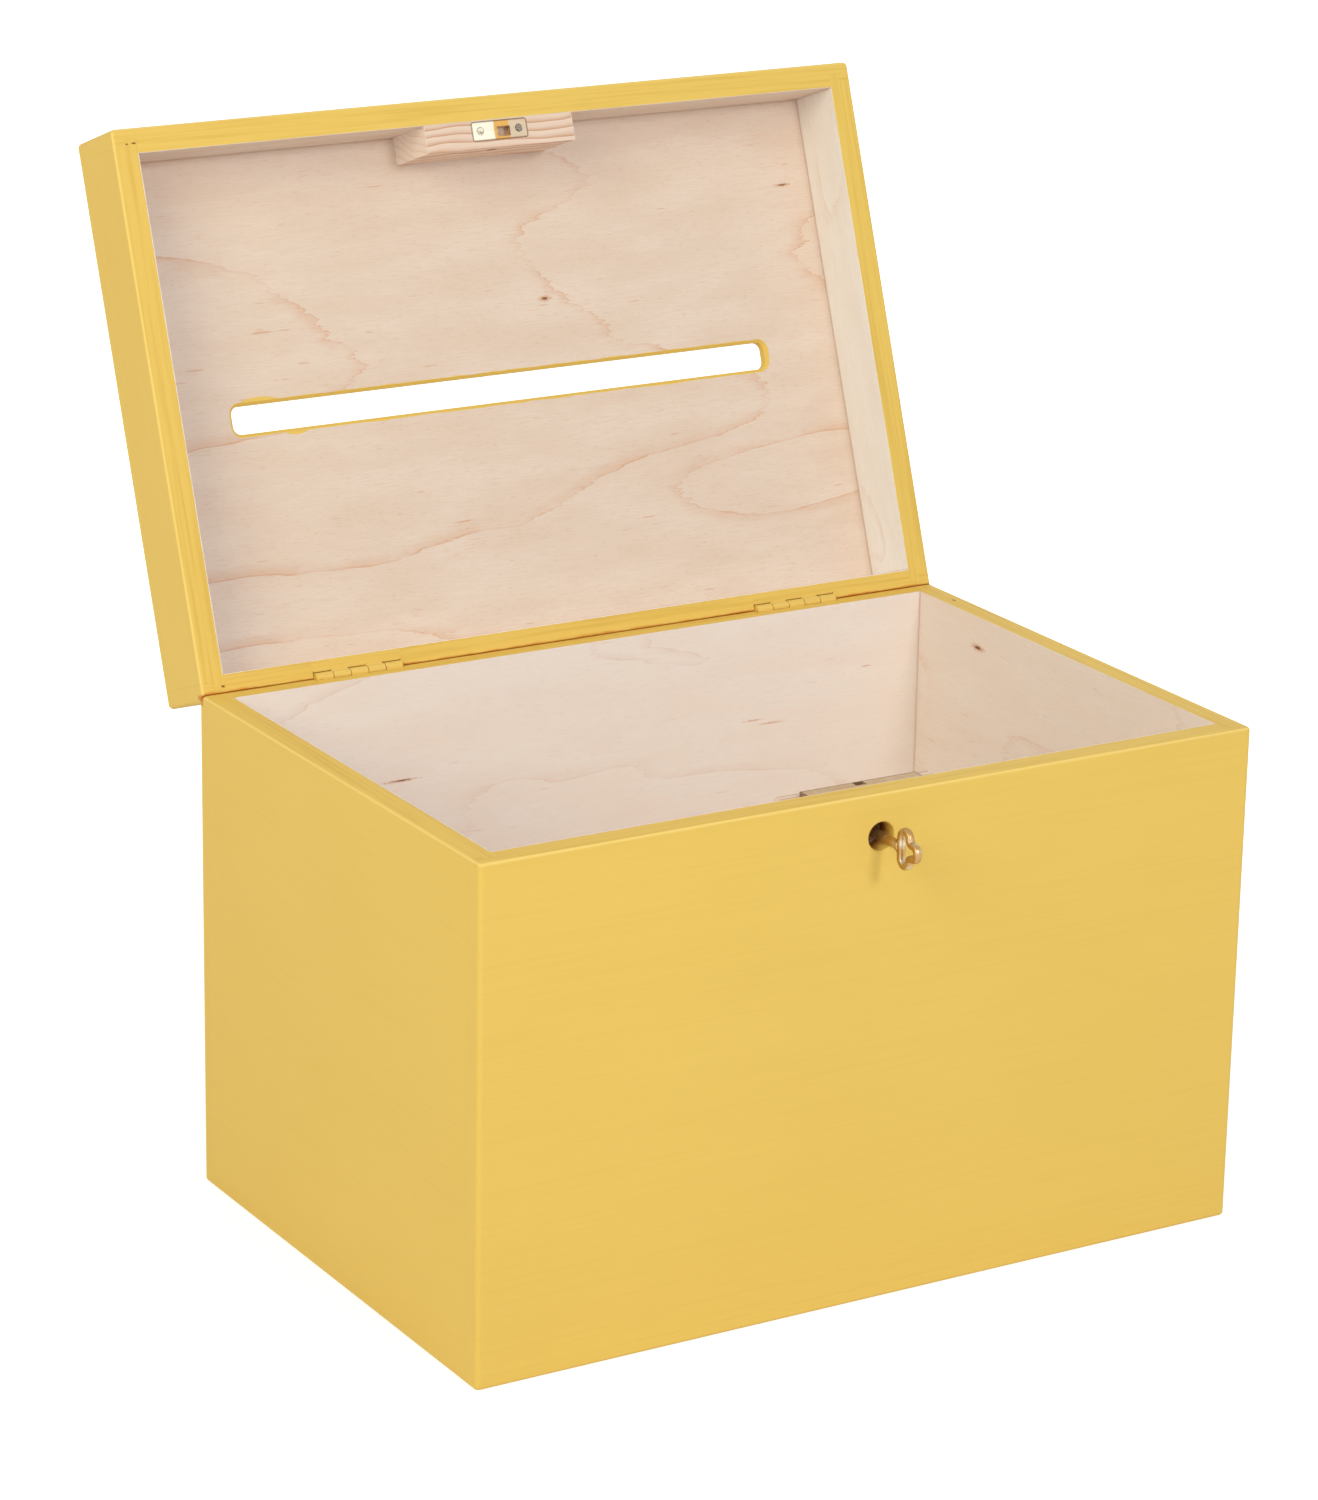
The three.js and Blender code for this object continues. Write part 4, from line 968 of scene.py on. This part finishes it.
class CARDBOX_OT_lock(bpy.types.Operator):
    """Finishes the lock, its block and what moves in it"""

    bl_idname = "card_box.lock"
    bl_label = "Lock"

    def execute(self, context):
        finish = context.scene.box_finish
        dress(["lock_block"], softwood("lock_block_pine", finish, on_lid=False))
        dress(["lock_case", "lock_cover", "lock_hub"], lock_metal("lock_sheet", finish))
        dress(["lock_hook"], metal("lock_hook_plate", finish.nickel, finish.lock_sheet))
        steel = metal("lock_steel", finish.steel, finish.nickel)
        dress(["lock_hook_pivot", "lock_spring", "lock_screw_left", "lock_screw_right"], steel)
        return {"FINISHED"}


class CARDBOX_OT_keeper(bpy.types.Operator):
    """Finishes the keeper plate in the lid, its block and its screws"""

    bl_idname = "card_box.keeper"
    bl_label = "Keeper"

    def execute(self, context):
        finish = context.scene.box_finish
        dress(["keeper_block"], softwood("keeper_block_pine", finish, on_lid=True))
        dress(["keeper_plate"], keeper_metal("keeper_plate_metal", finish))
        # The two screws are alike: the left is given bright nickel as a painted glint, the right dark steel
        # as painted shade.
        for side, look, base in ("left", "bright", finish.nickel), ("right", "dark", finish.steel):
            dress([f"keeper_screw_{side}"], metal(f"keeper_screw_{look}", base, finish.knot_and_shade))
        return {"FINISHED"}


class CARDBOX_OT_key(bpy.types.Operator):
    """Makes the key: a trefoil bow, a shaft that flares into it, and a bit"""

    bl_idname = "card_box.key"
    bl_label = "Key"

    def execute(self, context):
        finish, shape = context.scene.box_finish, context.scene.key_shape
        half_band = shape.band / 2
        aside_y = KEY_LOW.y + shape.lobe_ahead + shape.ahead_radius + half_band
        brass = metal("key_brass", finish.brass, finish.worn_brass, (400, 400, 400), dullness=0.16)
        surfaces = [
            bow_surface(shape, aside_y),
            shaft_surface(shape, aside_y + shape.aside_radius + half_band),
            bit_surface(shape),
        ]
        piece = new_piece("trefoil_key", surfaces, brass)
        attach(piece, "key")
        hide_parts("key")
        return {"FINISHED"}


def facing(azimuth, elevation):
    """The direction away from the box, so far round it and so far above the horizon."""
    level = math.cos(elevation)
    return Vector((math.sin(azimuth) * level, -math.cos(azimuth) * level, math.sin(elevation)))


def camera_matrix(studio):
    """Where the camera stands and looks, from its turn round the box, its height and its roll."""
    turn, roll = studio.azimuth, studio.roll
    back = facing(turn, studio.elevation)
    level = Vector((math.cos(turn), math.sin(turn), 0))
    upright = back.cross(level)
    right = math.cos(roll) * level + math.sin(roll) * upright
    up = math.cos(roll) * upright - math.sin(roll) * level
    axes = Matrix((right, up, back)).transposed()
    return Matrix.Translation(studio.eye) @ axes.to_4x4()


def seen_directly(graph):
    """1 for rays that show the background itself: to the camera, in a reflection or through glass."""
    rays = graph.add("LightPath").outputs
    return graph.most(rays["Is Glossy Ray"], rays["Is Transmission Ray"], rays["Is Camera Ray"])


def make_floor(studio):
    """A wide pale floor under the box, lifted to white where it is seen, with the box's shadow kept."""
    half, z = 6.0, cad_box[0].z - 0.05 * MM
    corner = [(-half, -half, z), (half, -half, z), (half, half, z), (-half, half, z)]
    mesh = bpy.data.meshes.new("floor")
    mesh.from_pydata(corner, [], [(0, 1, 2, 3)])
    floor = add_object("floor", mesh)
    white = (1, 1, 1)
    graph = Surface(
        "floor_pale", Base_Color=studio.floor, Roughness=1.0, Specular_IOR_Level=0.0, Emission_Color=white,
    )
    near, far = 0.2, 0.9
    glow = graph.span(graph.ease(graph.reach(graph.place), near, far), studio.floor_glow, 1.0)
    graph.shade(Emission_Strength=graph.times(seen_directly(graph), glow))
    mesh.materials.append(graph.material)


def make_sky(studio):
    """Even light from all round, and white behind the box."""
    world = bpy.data.worlds.new("studio")
    world.use_nodes = True
    graph = Graph(world.node_tree)
    background = world.node_tree.nodes["Background"]
    background.inputs["Color"].default_value = (1, 1, 1, 1)
    graph.feed(background.inputs["Strength"], graph.span(seen_directly(graph), studio.sky, 1.0))
    bpy.context.scene.world = world


def make_softbox(name, power, tint, width, degrees):
    """A round lamp that faces the box, so many degrees round it and above the horizon."""
    lamp = bpy.data.lights.new(name, "AREA")
    lamp.energy = power
    lamp.color = tint
    lamp.shape = "DISK"
    lamp.size = width
    softbox = add_object(name, lamp)
    distance = 2.2
    offset = distance * facing(*np.radians(degrees))
    turn = (-offset).to_track_quat("-Z", "Y").to_matrix().to_4x4()
    softbox.matrix_world = Matrix.Translation(Vector((0, 0, BODY_TOP)) + offset) @ turn


class CARDBOX_OT_studio(bpy.types.Operator):
    """Sets the floor, the light and the camera"""

    bl_idname = "card_box.studio"
    bl_label = "Studio"

    def execute(self, context):
        studio = context.scene.box_studio
        make_floor(studio)
        make_sky(studio)
        make_softbox("front_softbox", studio.front_lamp, (1, 1, 1), width=0.4, degrees=(7, 29))
        make_softbox("side_softbox", studio.side_lamp, studio.side_tint, width=1.2, degrees=(-60, 30))
        lens = bpy.data.cameras.new("camera")
        lens.lens = studio.lens
        camera = add_object("camera", lens)
        camera.matrix_world = camera_matrix(studio)
        context.scene.camera = camera
        context.scene.view_settings.view_transform = "Standard"
        return {"FINISHED"}


OPERATORS = (
    CARDBOX_OT_body, CARDBOX_OT_lid, CARDBOX_OT_hinges, CARDBOX_OT_lock, CARDBOX_OT_keeper, CARDBOX_OT_key,
    CARDBOX_OT_studio,
)
SETTINGS = {"box_finish": BoxFinish, "key_shape": KeyShape, "box_studio": StudioSetup}


class CARDBOX_PT_sidebar(bpy.types.Panel):
    """Lists the box's pieces and settings"""

    bl_idname = "CARDBOX_PT_sidebar"
    bl_label = "Card Box"
    bl_space_type = "VIEW_3D"
    bl_region_type = "UI"
    bl_category = "Card Box"

    def draw(self, context):
        for operator in OPERATORS:
            self.layout.operator(operator.bl_idname)
        for name, group in SETTINGS.items():
            box = self.layout.box()
            for setting in group.__annotations__:
                box.prop(getattr(context.scene, name), setting)


CLASSES = (*SETTINGS.values(), *OPERATORS, CARDBOX_PT_sidebar)


def register():
    """Makes the classes known to Blender and hangs the settings on the scene."""
    for item in CLASSES:
        bpy.utils.register_class(item)
    for name, group in SETTINGS.items():
        setattr(bpy.types.Scene, name, PointerProperty(type=group))


def unregister():
    """Takes the settings and classes away again."""
    for name in SETTINGS:
        delattr(bpy.types.Scene, name)
    for item in reversed(CLASSES):
        bpy.utils.unregister_class(item)


def main():
    """Builds the shared effects, then the box piece by piece."""
    register()
    for make in EFFECTS:
        make()
    for operator in OPERATORS:
        group, name = operator.bl_idname.split(".")
        getattr(getattr(bpy.ops, group), name)()


if __name__ == "__main__":
    main()
